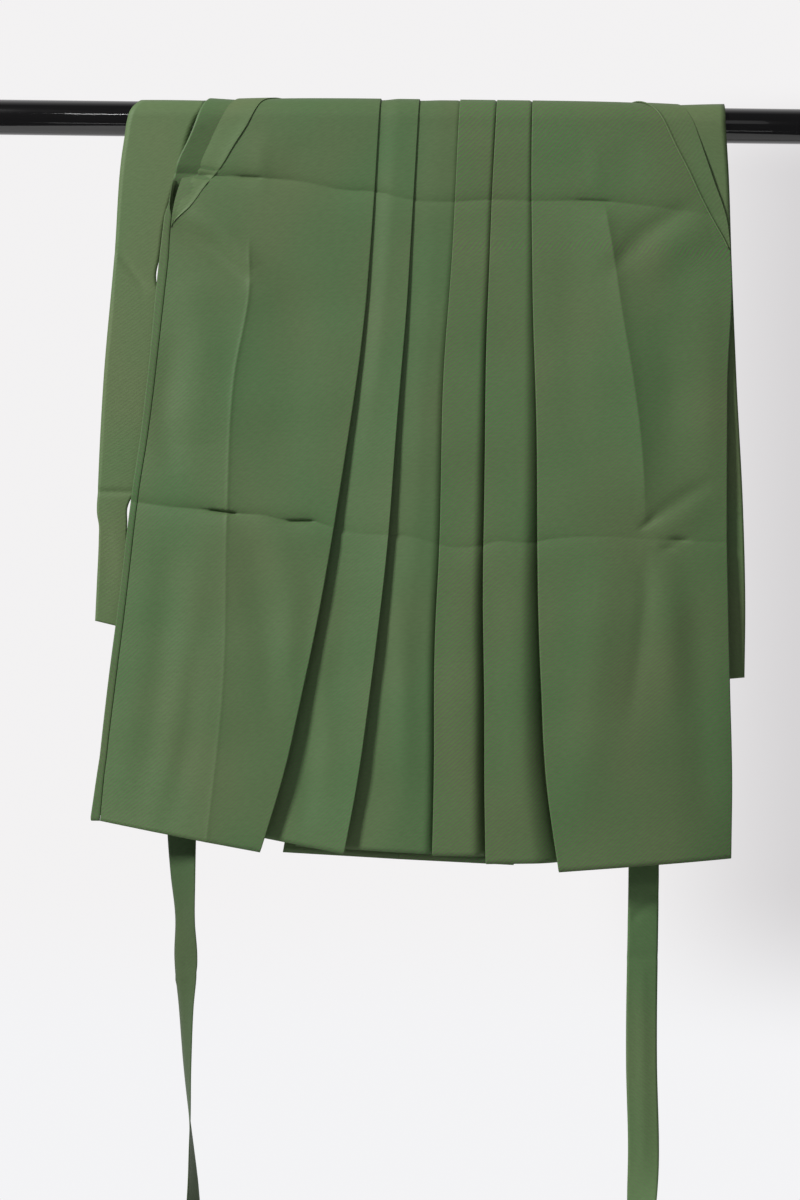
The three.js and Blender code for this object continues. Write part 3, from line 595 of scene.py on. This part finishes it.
def pleat_at(pleat, drops):
    """A pleat's edge, tuck and layers at each drop; the pressed edge wanders a little."""
    deep = fade(drops, 105, HEM)
    stand = smooth(pleat["stand"], drops)
    base = smooth(FRONT_BASE, drops)
    return dict(
        edge=smooth(pleat["edge"], drops) + 0.5 * np.sin(drops / 41 + pleat["over"]) * fade(drops, 60, 200),
        tuck=pleat["tuck"][0] + (pleat["tuck"][1] - pleat["tuck"][0]) * deep,
        base=base, stand=stand, top=base + stand, turn=0.7 + 0.2 * deep,
    )


def outer_r(side, drops, x):
    """The plain outer part of a front leg: full near its side edge, flat near the pleat."""
    pleat = pleat_at(PLEATS[0 if side == "left" else 4], drops)
    start = smooth(FRONT_LEFT if side == "left" else FRONT_RIGHT, drops)
    t = np.clip((x - start) / (pleat["edge"] - start), 0, 1)
    rim = smooth(FRONT_SIDE, drops)
    return rim + (pleat["top"] - rim) * (1 - (1 - t) ** 2.6)


def outer_part(side, drops, steps):
    """Runs from the side edge to the ridge and on to the pleat, at their own radii."""
    left = side == "left"
    pleat = PLEATS[0 if left else 4]
    edge = pleat_at(pleat, drops)["edge"]
    start = smooth(FRONT_LEFT if left else FRONT_RIGHT, drops)
    ridge = smooth(RIDGE_LEFT if left else RIDGE_RIGHT, drops)
    hems = (SIDE_HEM["left_seam" if left else "right"], pleat["over"])
    near = np.array([-14, -10, -7, -4, -2, -1, 0, 1, 2, 4, 7, 10, 14]) * (1 if left else -1)
    first, last = ridge + near[0], ridge + near[-1]
    quarter = math.pi / 2
    spots = [start + (first - start) * (1 - math.cos(k * quarter / steps[0])) for k in range(steps[0])]
    spots += [ridge + beside for beside in near]
    spots += [edge - (edge - last) * (1 - math.sin(k * quarter / steps[1])) for k in range(1, steps[1] + 1)]
    out = []
    for x in spots:
        share = float(((x - start) / (edge - start))[-1])
        out.append((x, outer_r(side, drops, x), hems[0] + (hems[1] - hems[0]) * share))
    return out


def tucked(pleat, at, facing, steps=9):
    """A knife pleat from its visible edge under to its inner fold and back to the base."""
    top, base, turn = at["top"], at["base"], at["turn"]
    inner = at["edge"] - facing * at["tuck"]
    return (
        knife_fold(at["edge"], facing, top, top - turn, pleat["over"] - 1)
        + column((at["edge"] - facing * turn, inner + facing * turn), (top - turn, base + turn),
                 (pleat["over"] - 2, pleat["inner"]), steps, lambda t: 1 - (1 - t) ** 2)
        + knife_fold(inner, -facing, base + turn, base, pleat["inner"])
    )


def front_left(drops):
    """From the left side edge over two pleats to the centre seam under the third."""
    p1, p2, p3 = (pleat_at(p, drops) for p in PLEATS[:3])
    section = outer_part("left", drops, (20, 22))[:-1]
    section += tucked(PLEATS[0], p1, 1)
    section += column((p1["edge"] - p1["tuck"] + p1["turn"], p1["edge"] - 1), (p1["base"],) * 2,
                      (PLEATS[0]["inner"], PLEATS[0]["under"]), 6)
    narrow = 1 - fade(drops, 60, 420)
    section += column((p1["edge"] + 1, p2["edge"] - p2["turn"] / 2), (p1["base"], p2["top"]),
                      (PLEATS[0]["under"], PLEATS[1]["over"]), 24,
                      lambda t: narrow * fade(t, 0, 0.5) + (1 - narrow) * t ** 1.3)
    section += tucked(PLEATS[1], p2, 1)
    section += column((p2["edge"] - p2["tuck"] + p2["turn"], p2["edge"] - 1), (p2["base"],) * 2,
                      (PLEATS[1]["inner"], PLEATS[1]["under"]), 6)
    crown = 0.45 * p3["stand"]
    fall = smooth(PLEATS[2]["fall"], drops) / (p3["edge"] - p2["edge"])
    section += column((p2["edge"] + 1, p3["edge"] - 0.5), (p2["base"], p2["base"] + crown),
                      (PLEATS[1]["under"], PLEATS[2]["under"]), 26,
                      lambda t: fade(t, 0, 0.6) * (1 - np.clip((t - 1 + fall) / fall, 0, 1) ** 1.8))
    section += column((p3["edge"] + 0.5, p3["edge"] + SEAM - 0.3), (p3["base"],) * 2,
                      (PLEATS[2]["under"],) * 2, 4)
    return section


x, down, r, cut = lay_out(front_left(ROWS), ROWS)
front_panel_left = lay_sheet("front_panel_left_cloth", hang(x, down, r + relief(x, down)), cut)
finish_piece(front_panel_left, "front_panel_left", left_cloth)


def front_right(drops):
    """From the centre seam over three pleats and round the right side."""
    p3, p4, p5 = (pleat_at(p, drops) for p in PLEATS[2:])
    section = column((p3["edge"] + SEAM + 0.3, p3["edge"] + p3["tuck"] - p3["turn"]), (p3["base"],) * 2,
                     (PLEATS[2]["under"], PLEATS[2]["inner"]), 6)
    for pleat, at, following, beyond in ((PLEATS[2], p3, PLEATS[3], p4), (PLEATS[3], p4, PLEATS[4], p5),
                                         (PLEATS[4], p5, None, None)):
        back_way = tucked(pleat, at, -1)
        section += back_way[::-1]
        if following:
            wide = beyond["edge"] - at["edge"]
            fall = smooth(following["fall"], drops) / wide
            section += column((at["edge"] + at["turn"] / 2, beyond["edge"] - 0.5),
                              (at["top"], beyond["base"]), (pleat["over"], following["under"]), 24,
                              lambda t: np.clip((t - 1 + fall) / fall, 0, 1) ** 1.8)
            section += column((beyond["edge"] + 0.5, beyond["edge"] + beyond["tuck"] - beyond["turn"]),
                              (beyond["base"],) * 2, (following["under"], following["inner"]), 6)
    section += outer_part("right", drops, (20, 22))[::-1][1:]
    return section + side_wrap(drops)


HALF_TURN = np.radians([30, 60, 90, 120, 150])


def side_wrap(drops):
    """Below the slit the right front turns round the side to its seam with the back."""
    wide = fade(drops, 118, 134)
    fold = smooth(FRONT_RIGHT, drops)
    front, back = smooth(FRONT_SIDE, drops), smooth(BACK_SIDE, drops)
    hems = (SIDE_HEM["right"], SIDE_HEM["back_right"])
    wrap = []
    for a in HALF_TURN:
        share = (1 - math.cos(a)) / 2
        wrap.append((fold + 0.9 * math.sin(a), front + (back - front) * wide * share,
                     hems[0] + (hems[1] - hems[0]) * share))
    for share in (0.1, 0.5, 1):
        wrap.append((fold - 8 * wide * share, front + (back - front) * wide, hems[1]))
    return wrap


x, down, r, cut = lay_out(front_right(ROWS), ROWS)
front_panel_right = lay_sheet("front_panel_right_cloth", hang(x, down, r + relief(x, down)), cut)
finish_piece(front_panel_right, "front_panel_right", right_cloth)

# The side folds: long leaf-shaped folds of the same cloth that edge each side slit, wide
# at the waist and drawn to a point where the slit ends. They lie flat on the panels.
FOLD_LEFT = [(-180, -34), (-72, -103), (-36, -134), (-24, -147), (-6, -157.6), (8.6, -165), (29, -177.7),
             (49, -189.4), (70, -206), (92, -222), (105, -236), (112, -240)]
FOLD_RIGHT = [(-180, 157), (-72, 200), (-36, 224), (-15, 242), (27, 264.4), (49, 276), (71, 286.5),
              (100, 302), (119, 313), (127, 317)]
# Small pressed wrinkles of the left fold: drop and height.
WRINKLES = [(50, -0.7), (54, 0.5), (59, -0.8), (64, 0.4)]


def side_fold(side, drops, lift=0.9, columns=22):
    left = side == "left"
    outer = smooth(FRONT_LEFT if left else FRONT_RIGHT, drops) + (-0.6 if left else 0.6)
    inner = smooth(FOLD_LEFT if left else FOLD_RIGHT, drops)
    t = (1 - np.cos(np.linspace(0, math.pi, columns + 1)))[None, :] / 2
    x = outer[:, None] + (inner - outer)[:, None] * t
    rows = np.broadcast_to(drops[:, None], x.shape)
    waist = WAIST + HANG_SLOPE * (x - WAIST_CENTRE)
    down = np.where(rows < TIGHT, TIGHT + (rows - TIGHT) * (waist - TIGHT) / (WAIST - TIGHT), rows)
    proud = lift + 0.5 * np.exp(-(((1 - t) * 24) / 5) ** 2) * fade(rows, -20, 20)
    if not left:  # its pressed inner edge stands up as a fine bead
        proud = proud - 0.5 + 1.3 * np.exp(-((np.abs(x - inner[:, None]) - 0.8) / 0.8) ** 2)
    r = outer_r(side, rows, x) + relief(x, down) + proud
    for at, height in WRINKLES if left else ():
        r = r + height * np.exp(-((down - at - 4 * t) / 1.3) ** 2) * fade(t, 0, 0.2)
    run = np.abs(x - outer[:, None])
    if not left:
        x, down, r, run = x[:, ::-1], down[:, ::-1], r[:, ::-1], -run[:, ::-1]
    return lay_sheet(f"side_fold_{side}_cloth", hang(x, down, r), np.stack([run, down], axis=-1))


for side, end in (("left", 111.0), ("right", 126.0)):
    stops = [(WAIST, 6), (-OVER, 2.6), (0, 2.2), (42, 2.2), (47, 1), (68, 1), (73, 2.2), (end - 2, 2.2)]
    fold = side_fold(side, np.append(spaced(stops), end))
    finish_piece(fold, f"side_fold_{side}", band_cloth)

# The two back legs, seen between the ties from behind and in the open slits from the
# front. One knife pleat on each leg faces the middle; the left leg turns round the side
# to its seam with the front.
BACK_LEFT = [(-180, -93.5), (-72, -188), (-36, -205), (0, -217), (77, -239), (105, -244.5),
             (260, -260.5), (410, -275.5), (560, -294.8), (650, -303.8), (735, -311)]
BACK_RIGHT = [(-180, 186.5), (-72, 235), (-36, 252), (0, 268), (77, 298), (105, 308), (125, 310.2),
              (260, 308.7), (410, 309.7), (560, 313.7), (650, 316.7), (735, 316.7)]
BACK_CENTRE = [(-180, 46.5), (0, 37), (105, 31), (410, 15), (735, -5)]
BACK_OUTER = [(-180, 8), (0, 14), (410, 36), (735, 55)]
BACK_INNER = [(-180, 45), (0, 52), (410, 84), (735, 115)]
BACK_BASE = [(-180, 18.6), (0, 18.6), (410, 18.8), (735, 19.2)]
BACK_STAND = [(-180, 1.6), (0, 1.6), (105, 2), (410, 3.4), (735, 5)]
LAPPED = 6.0  # how far the slit edge stands up beside the tie, below the rail
SUNK = 11.0  # how far it falls back in again towards the end of the slit
LAP = 30  # how far in from the side edge this reaches
BACK_SHARE = 0.7  # the back takes this much of the front's creases
# The left seam's strip beside the front, from its edge to the fold: share and dip.
SEAM_STRIP = [(1, 0.6), (0.93, 0.3), (0.85, 0), (0.6, 0), (0.35, 0), (0.15, 0), (0.04, 0)]
BACK_HEM = dict(left=dict(side=716, outer=723, inner=733.5), right=dict(side=739, outer=737, inner=743.5))


def back_leg(side, drops):
    """From the side, under one pleat, to the centre."""
    left = side == "left"
    facing = 1 if left else -1
    centre = smooth(BACK_CENTRE, drops)
    outer = centre - facing * smooth(BACK_OUTER, drops)
    inner = centre - facing * smooth(BACK_INNER, drops)
    base = smooth(BACK_BASE, drops)
    deep = base + smooth(BACK_STAND, drops)
    rear = smooth(BACK_SIDE, drops)
    turn = 0.8
    hem = BACK_HEM[side]
    if left:
        wide = fade(drops, 104, 113)
        fold = smooth(BACK_LEFT, drops) + 2.6 * (1 - wide)
        seam = smooth(FRONT_LEFT, drops) - 0.5
        front = smooth(FRONT_SIDE, drops) - 0.2
        rim = rear + (front - 1.2 - rear) * wide
        hems = (SIDE_HEM["left_seam"], SIDE_HEM["left"])
        section = [(fold + 0.6 + (seam - fold - 0.6) * wide * share, rim + (0.5 - dip) * wide, hems[0])
                   for share, dip in SEAM_STRIP]
        section += [(fold + 0.6 - 0.6 * math.sin(a), rim + 0.5 * wide * math.cos(a),
                     hems[0] + (hems[1] - hems[0]) * (1 - math.cos(a)) / 2) for a in HALF_TURN]
        start = fold + 2
    else:
        start = smooth(BACK_RIGHT, drops) - 0.4
        section = []
        hems = (0, SIDE_HEM["back_right"])
    lap = start + facing * LAP
    if left:
        lifted = 1.6 * fade(drops, -70, -30) + (LAPPED - 1.6) * fade(drops, -16, 14)
        lifted = lifted * (1 - fade(drops, 70, 94)) - SUNK * np.exp(-((drops - 99) / 9) ** 2)
        section += column((start, lap), (rim - 0.5 * wide + lifted, rear), (hems[1],) * 2, 12)
    else:
        section += column((start, lap), (rear, rear), (hems[1],) * 2, 12)
    section += column((lap + facing, outer - facing * 2), (rear, base), (hems[1], hem["outer"]), 24)
    section += knife_fold(outer, facing, base, base + turn, hem["outer"])
    section += column((outer - facing * turn, inner + facing * turn), (base + turn, deep - turn),
                      (hem["outer"], hem["inner"]), 10)
    section += knife_fold(inner, -facing, deep - turn, deep, hem["inner"])
    section += column((inner + facing * turn, centre), (deep, deep), (hem["inner"], 739), 12)
    return section if left else section[::-1]


for side, cloth in (("left", left_cloth), ("right", right_cloth)):
    x, down, r, cut = lay_out(back_leg(side, ROWS), ROWS)
    back = lay_sheet(f"back_panel_{side}_cloth", hang(x, down, r + BACK_SHARE * relief(x, down)), cut)
    finish_piece(back, f"back_panel_{side}", cloth)

# The gusset: a narrow strip sewn in between the two legs, from one hem up over the
# crotch and down to the other.
CROTCH = 330.0
CLEAR = 0.9  # air between the gusset and the legs
# One leg of its middle line, as drop and distance from its centre.
gusset_path = [(727, 15), (560, 11), (410, 7), (CROTCH + 8, 3.5), (CROTCH, 0)]
gusset_stops = [(d, -s) for d, s in gusset_path] + [(d, s) for d, s in gusset_path[-2::-1]]
legs = []
for (d0, s0), (d1, s1) in zip(gusset_stops, gusset_stops[1:]):
    count = max(2, int(abs(d1 - d0) / 6))
    legs += [(d0 + (d1 - d0) * k / count, s0 + (s1 - s0) * k / count) for k in range(count)]
legs.append(gusset_stops[-1])
d, s = np.array(legs).T
front_x = smooth(PLEATS[2]["edge"], d) + SEAM
back_x = smooth(BACK_CENTRE, d)
rear = smooth(BACK_BASE, d) + smooth(BACK_STAND, d) + CLEAR
fore = smooth(FRONT_BASE, d) - CLEAR
t = np.linspace(0, 1, 7)[None, :]
x = (back_x + (front_x - back_x) * 0.4 + s)[:, None] + 0.2 * (front_x - back_x)[:, None] * t
r = rear[:, None] + (fore - rear)[:, None] * t
down = np.broadcast_to(d[:, None], x.shape)
run = np.concatenate([[0], np.cumsum(np.hypot(np.diff(d), np.diff(s)))])
cut = np.stack(np.broadcast_arrays(10 * t, run[:, None]), axis=-1)
gusset = lay_sheet("gusset_cloth", hang(x, down, r), cut)
finish_piece(gusset, "gusset", right_cloth)

# The front waistband: a strip of the same cloth folded double over the front's top edge,
# which hangs lowest here, behind the rail.
BAND_HEIGHT, BAND_THICK, WAIST_HALF = 32.0, 2.4, 155.0


def behind_point(x, below, r):
    """A place behind the rail, this far under the sloping waist line as it hangs."""
    return hang(x, WAIST + HANG_SLOPE * (x - WAIST_CENTRE) - 0.3 - below, r)


def squared(wave, power):
    """Squares up a sine or cosine, so that a loop of both is a rounded rectangle."""
    return np.sign(wave) * np.abs(wave) ** power


def close_pad(pad):
    """Joins the loop's seam and caps the ends of a doubled strip or a pad."""
    shape = bmesh.new()
    shape.from_mesh(pad.data)
    bmesh.ops.remove_doubles(shape, verts=shape.verts, dist=1e-6)
    bmesh.ops.holes_fill(shape, edges=[e for e in shape.edges if e.is_boundary])
    bmesh.ops.recalc_face_normals(shape, faces=shape.faces)
    shape.to_mesh(pad.data)
    shape.free()


count = 60
t = np.linspace(0, 1, count + 1)[:, None]
x = WAIST_CENTRE + WAIST_HALF * (2 * t - 1)
middle = 21.9 + 1.7 * (1 - (2 * t - 1) ** 4) + 0.25 * np.sin(t * 31) * np.sin(t * 12)
loop = np.linspace(0, 2 * math.pi, 33)[None, :]
half = BAND_HEIGHT / 2
below = half + half * squared(np.cos(loop), 0.22)
thick = middle + BAND_THICK / 2 * squared(np.sin(loop), 0.35)
x = np.broadcast_to(x, thick.shape)
below = np.broadcast_to(below, thick.shape)
cut = np.stack([x, BAND_HEIGHT * np.broadcast_to(loop, x.shape) / math.pi], axis=-1)
band = lay_sheet("front_waistband_cloth", behind_point(x, below, thick), cut, thickness=0)
close_pad(band)
finish_piece(band, "front_waistband", band_cloth)

# The back board: a stiff trapezoid pad covered in the same cloth, sewn to the back's top
# edge at its wide side. It hangs wide side up behind the rail.
BOARD_CENTRE = WAIST_CENTRE - 10
BOARD_HEIGHT, BOARD_WIDE, BOARD_NARROW = 90.0, 105.0, 75.0
BOARD_R, BOARD_THICK = 18.65, 4.3
count = 40
t = np.linspace(0, 1, count + 1)[:, None]
half_wide = BOARD_WIDE + (BOARD_NARROW - BOARD_WIDE) * t
below = 0.3 + (BOARD_HEIGHT - 0.6) * t
loop = np.linspace(0, 2 * math.pi, 49)[None, :]
x = BOARD_CENTRE + half_wide * squared(np.cos(loop), 0.15)
soft = np.clip(1 - np.abs(2 * t - 1) ** 14, 0.12, 1)
r = BOARD_R + BOARD_THICK / 2 * soft * squared(np.sin(loop), 0.3)
below = np.broadcast_to(below, x.shape)
cut = np.stack([x + 300, below], axis=-1)
board = lay_sheet("back_board_cloth", behind_point(x, below, r), cut, thickness=0)
close_pad(board)
board.data.materials.append(band_cloth)
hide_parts("back_board")
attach(board, "root")

# The four ties: long bands of doubled cloth. Each leaves its root sideways behind the
# rail, is folded up at a corner, goes over the rail under the legs and hangs in front.
# Rows give the edges down the front; a twist turns the narrow ties as they hang.
TIE_R = RAIL_RADIUS + 0.9
FRONT_TIE_WIDTH = 31.0
BACK_TIE_ROOT = 75.0
TIE_THICK = 0.9
# The wide back ties: each edge down the front, as (drop, x), and the drops where the outer
# and the inner edge end.
BACK_TIES = dict(
    left=dict(
        outer=[(-30, -271.5), (-20, -275.5), (-9, -281), (6, -285), (21, -287), (35, -289), (137, -295.5),
               (262, -305), (375, -309.5), (398, -310), (410, -308), (422, -308), (470, -309.5),
               (509, -310.8)],
        inner=[(-30, -203), (-20, -205.6), (14, -221), (55, -231.5), (78, -239), (105, -246), (142, -251),
               (156, -253.7), (167, -252.5), (178, -247), (262, -254), (360, -266), (374, -274),
               (380, -277.5), (385, -279.3), (401, -279.6), (418, -279.6), (432, -277), (480, -274),
               (509, -281)],
        end=(505, 512)),
    right=dict(
        outer=[(0, 313), (35, 316), (137, 321), (252, 327), (392, 335.7), (483, 338.8), (556, 338.8)],
        inner=[(0, 246), (35, 258), (137, 277), (252, 292), (392, 305), (483, 308.5), (556, 309.5)],
        end=(554, 557)),
)
# The narrow front ties: the middle line as (drop, x), and the twist as (drop, degrees).
FRONT_TIES = dict(
    left=dict(
        middle=[(0, -197.5), (260, -207), (500, -215), (700, -222), (756, -220), (804, -216.8), (838, -216),
                (890, -215), (945, -213), (1011, -208.5), (1081, -206), (1190, -205), (1399, -206)],
        twist=[(0, 0), (260, 0), (500, 5), (700, 15), (756, 34), (804, 50), (838, 40), (890, 60), (945, 73),
               (1011, 88), (1081, 109), (1190, 135), (1290, 155), (1399, 165)],
        end=1399),
    right=dict(
        middle=[(0, 228.7), (260, 233), (500, 236.5), (740, 240.3), (940, 240.5), (1042, 243.5),
                (1090, 242), (1180, 241), (1394, 239)],
        twist=[(0, 0), (940, 0), (1042, 8), (1090, 30), (1180, 45), (1290, 40), (1394, 30)],
        end=1394),
)
# Creases in the ties: from (x, drop) to (x, drop), width, height.
TIE_CREASES = dict(
    back_left=[((-314, 376), (-270, 376), 3, -1.6), ((-299, 128), (-264, 172), 4, -1.8),
               ((-300, 380), (-272, 500), 9, 0.6), ((-296, 398), (-304, 500), 9, -0.5)],
    back_right=[((304, 392), (340, 392), 3, -0.7), ((330, 200), (300, 300), 10, 0.6)],
    front_left=[((-228, 760), (-206, 1060), 4, 1.6), ((-236, 868), (-200, 852), 3, 0.9)],
    front_right=[((220, 834), (262, 834), 2.6, -1.5), ((256, 768), (226, 800), 4, -1.4),
                 ((240, 840), (244, 1060), 6, 1.1)],
)


def tie_band(name, root, corner, hang_drops, outer, inner, twist, dent, crown=lambda d: 0.0, across=12):
    """Edge points from root to free end, then the band between them as a sheet."""
    leg = 1 if outer[0] > inner[0] else -1
    far, near = outer[0], inner[0]
    tip = np.array([leg, 0, -1]) / math.sqrt(2)
    half_turn = (corner["r"] - TIE_R) / 2
    stops = []

    def stop(a, b, face, count):
        stops.append((np.array(a, float), np.array(b, float), np.array(face, float), count))

    def shifted(away, r):
        a = np.array([far, 0, root["top"]]) + tip * away
        b = np.array([near, 0, root["bottom"]]) + tip * away
        a[1], b[1] = r, r
        return a, b

    back = np.array([0, 1.0, 0])
    stop([root["top_x"], root["r"], root["top"]], [root["bottom_x"], root["r"], root["bottom"]], back, 1)
    stop(*shifted(-1.2, corner["r"]), back, 16)
    for angle in (30, 60, 90, 120, 150):
        lean = math.radians(angle)
        stop(*shifted(-1.2 + 1.2 * math.sin(lean), corner["r"] - half_turn * (1 - math.cos(lean))),
             back * math.cos(lean) + tip * math.sin(lean) * np.sign(half_turn), 1)
    stop(*shifted(-1.2, TIE_R), -back, 1)
    for share in (0.45, 0):
        z = root["top"] * share - (0 if share else 4)
        for_z = hang(np.array(0.0), np.array(z - OVER), np.array(0.0))[2]
        stop([far, TIE_R, for_z], [near, TIE_R, for_z], -back, 12)
    edges_a, edges_b, faces = [stops[0][0]], [stops[0][1]], [stops[0][2]]
    for (a0, b0, f0, _), (a1, b1, f1, count) in zip(stops, stops[1:]):
        for k in range(1, count + 1):
            edges_a.append(a0 + (a1 - a0) * k / count)
            edges_b.append(b0 + (b1 - b0) * k / count)
            face = f0 + (f1 - f0) * k / count
            faces.append(face / np.linalg.norm(face))
    for k, (drop, drop_in) in enumerate(hang_drops):
        angle = math.radians(twist[k])
        over = np.clip(-drop / TURN, 0, math.pi)
        out_way = np.array([0, -math.cos(over), math.sin(over)])
        middle, reach = (outer[k] + inner[k]) / 2, (outer[k] - inner[k]) / 2
        for edges, way, at in ((edges_a, 1, drop), (edges_b, -1, drop_in)):
            away = TIE_R + (float(crown(at)) if way > 0 else 0)
            spot = hang(np.array(middle + way * reach * math.cos(angle)), np.array(at), np.array(away))
            edges.append(spot + out_way * way * reach * math.sin(angle))
        face = -out_way * math.cos(angle) + np.array([math.sin(angle), 0, 0])
        faces.append(face / np.linalg.norm(face))
    a, b, face = np.array(edges_a), np.array(edges_b), np.array(faces)
    t = np.linspace(0, 1, across + 1)
    points = a[:, None, :] + (b - a)[:, None, :] * t[None, :, None]
    bulge = -dent(points[..., 0], -points[..., 2]) - 0.25 * (1 - (2 * t - 1) ** 2)[None, :]
    points = points + face[:, None, :] * bulge[..., None]
    length = np.concatenate([[0], np.cumsum(np.linalg.norm(np.diff((a + b) / 2, axis=0), axis=1))])
    width = np.linalg.norm(b - a, axis=1)
    lengths = np.broadcast_to(length[:, None], points.shape[:2])
    cut = np.stack([width[:, None] * (t[None, :] - 0.5), lengths], axis=-1)
    if leg > 0:
        points, cut = points[:, ::-1], cut[:, ::-1]
    return lay_sheet(name, points, cut, thickness=TIE_THICK), length[-1]


def dents(creases):
    def dent(x, drop):
        out = np.zeros(x.shape)
        for start, end, width, height in creases:
            out += line_dent(x, drop, [start, end], width, height)
        return out
    return dent


over_drops = [(float(d), float(d)) for d in np.linspace(-OVER, 0, 30)[:-1]]
for side, leg in (("left", -1), ("right", 1)):
    rows = FRONT_TIES[side]
    drops = over_drops + [(float(d), float(d)) for d in np.linspace(0, rows["end"], 260)]
    at = np.array([d for d, _ in drops])
    middle, twist = smooth(rows["middle"], np.maximum(at, 0)), smooth(rows["twist"], np.maximum(at, 0))
    top_x = WAIST_CENTRE + leg * (WAIST_HALF + 0.3)
    top = float(behind_point(np.array(top_x), 0, np.array(0.0))[2])
    root = dict(top_x=top_x, bottom_x=top_x, top=top, bottom=top - FRONT_TIE_WIDTH, r=21.9)
    tie, length = tie_band(f"front_tie_{side}_cloth", root, dict(r=TIE_R + 1.7), drops,
                           middle + leg * FRONT_TIE_WIDTH / 2, middle - leg * FRONT_TIE_WIDTH / 2, twist,
                           dents(TIE_CREASES[f"front_{side}"]))
    finish_piece(tie, f"front_tie_{side}", tie_cloths_painted_light_and_shade[side])

    rows = BACK_TIES[side]
    ends = rows["end"]
    share = np.linspace(0, 1, 260)
    drops = over_drops + [(float(ends[0] * s), float(ends[1] * s)) for s in share]
    at = np.array([d for d, _ in drops])
    outer, inner = smooth(rows["outer"], at), smooth(rows["inner"], at)
    top_x = BOARD_CENTRE + leg * (BOARD_WIDE + 0.9)
    top = float(behind_point(np.array(top_x), 0, np.array(0.0))[2])
    taper = (BOARD_WIDE - BOARD_NARROW) / BOARD_HEIGHT
    root = dict(top_x=top_x, bottom_x=top_x - leg * taper * BACK_TIE_ROOT, top=top,
                bottom=top - BACK_TIE_ROOT, r=TIE_R - 1.4)
    tie, length = tie_band(f"back_tie_{side}_cloth", root, dict(r=TIE_R - 1.4), drops, outer, inner,
                           np.zeros(len(drops)), dents(TIE_CREASES[f"back_{side}"]),
                           lambda d: (leg > 0) * 2.8 * fade(d, -60, -40) * (1 - fade(d, -5, 40)))
    finish_piece(tie, f"back_tie_{side}", band_cloth)
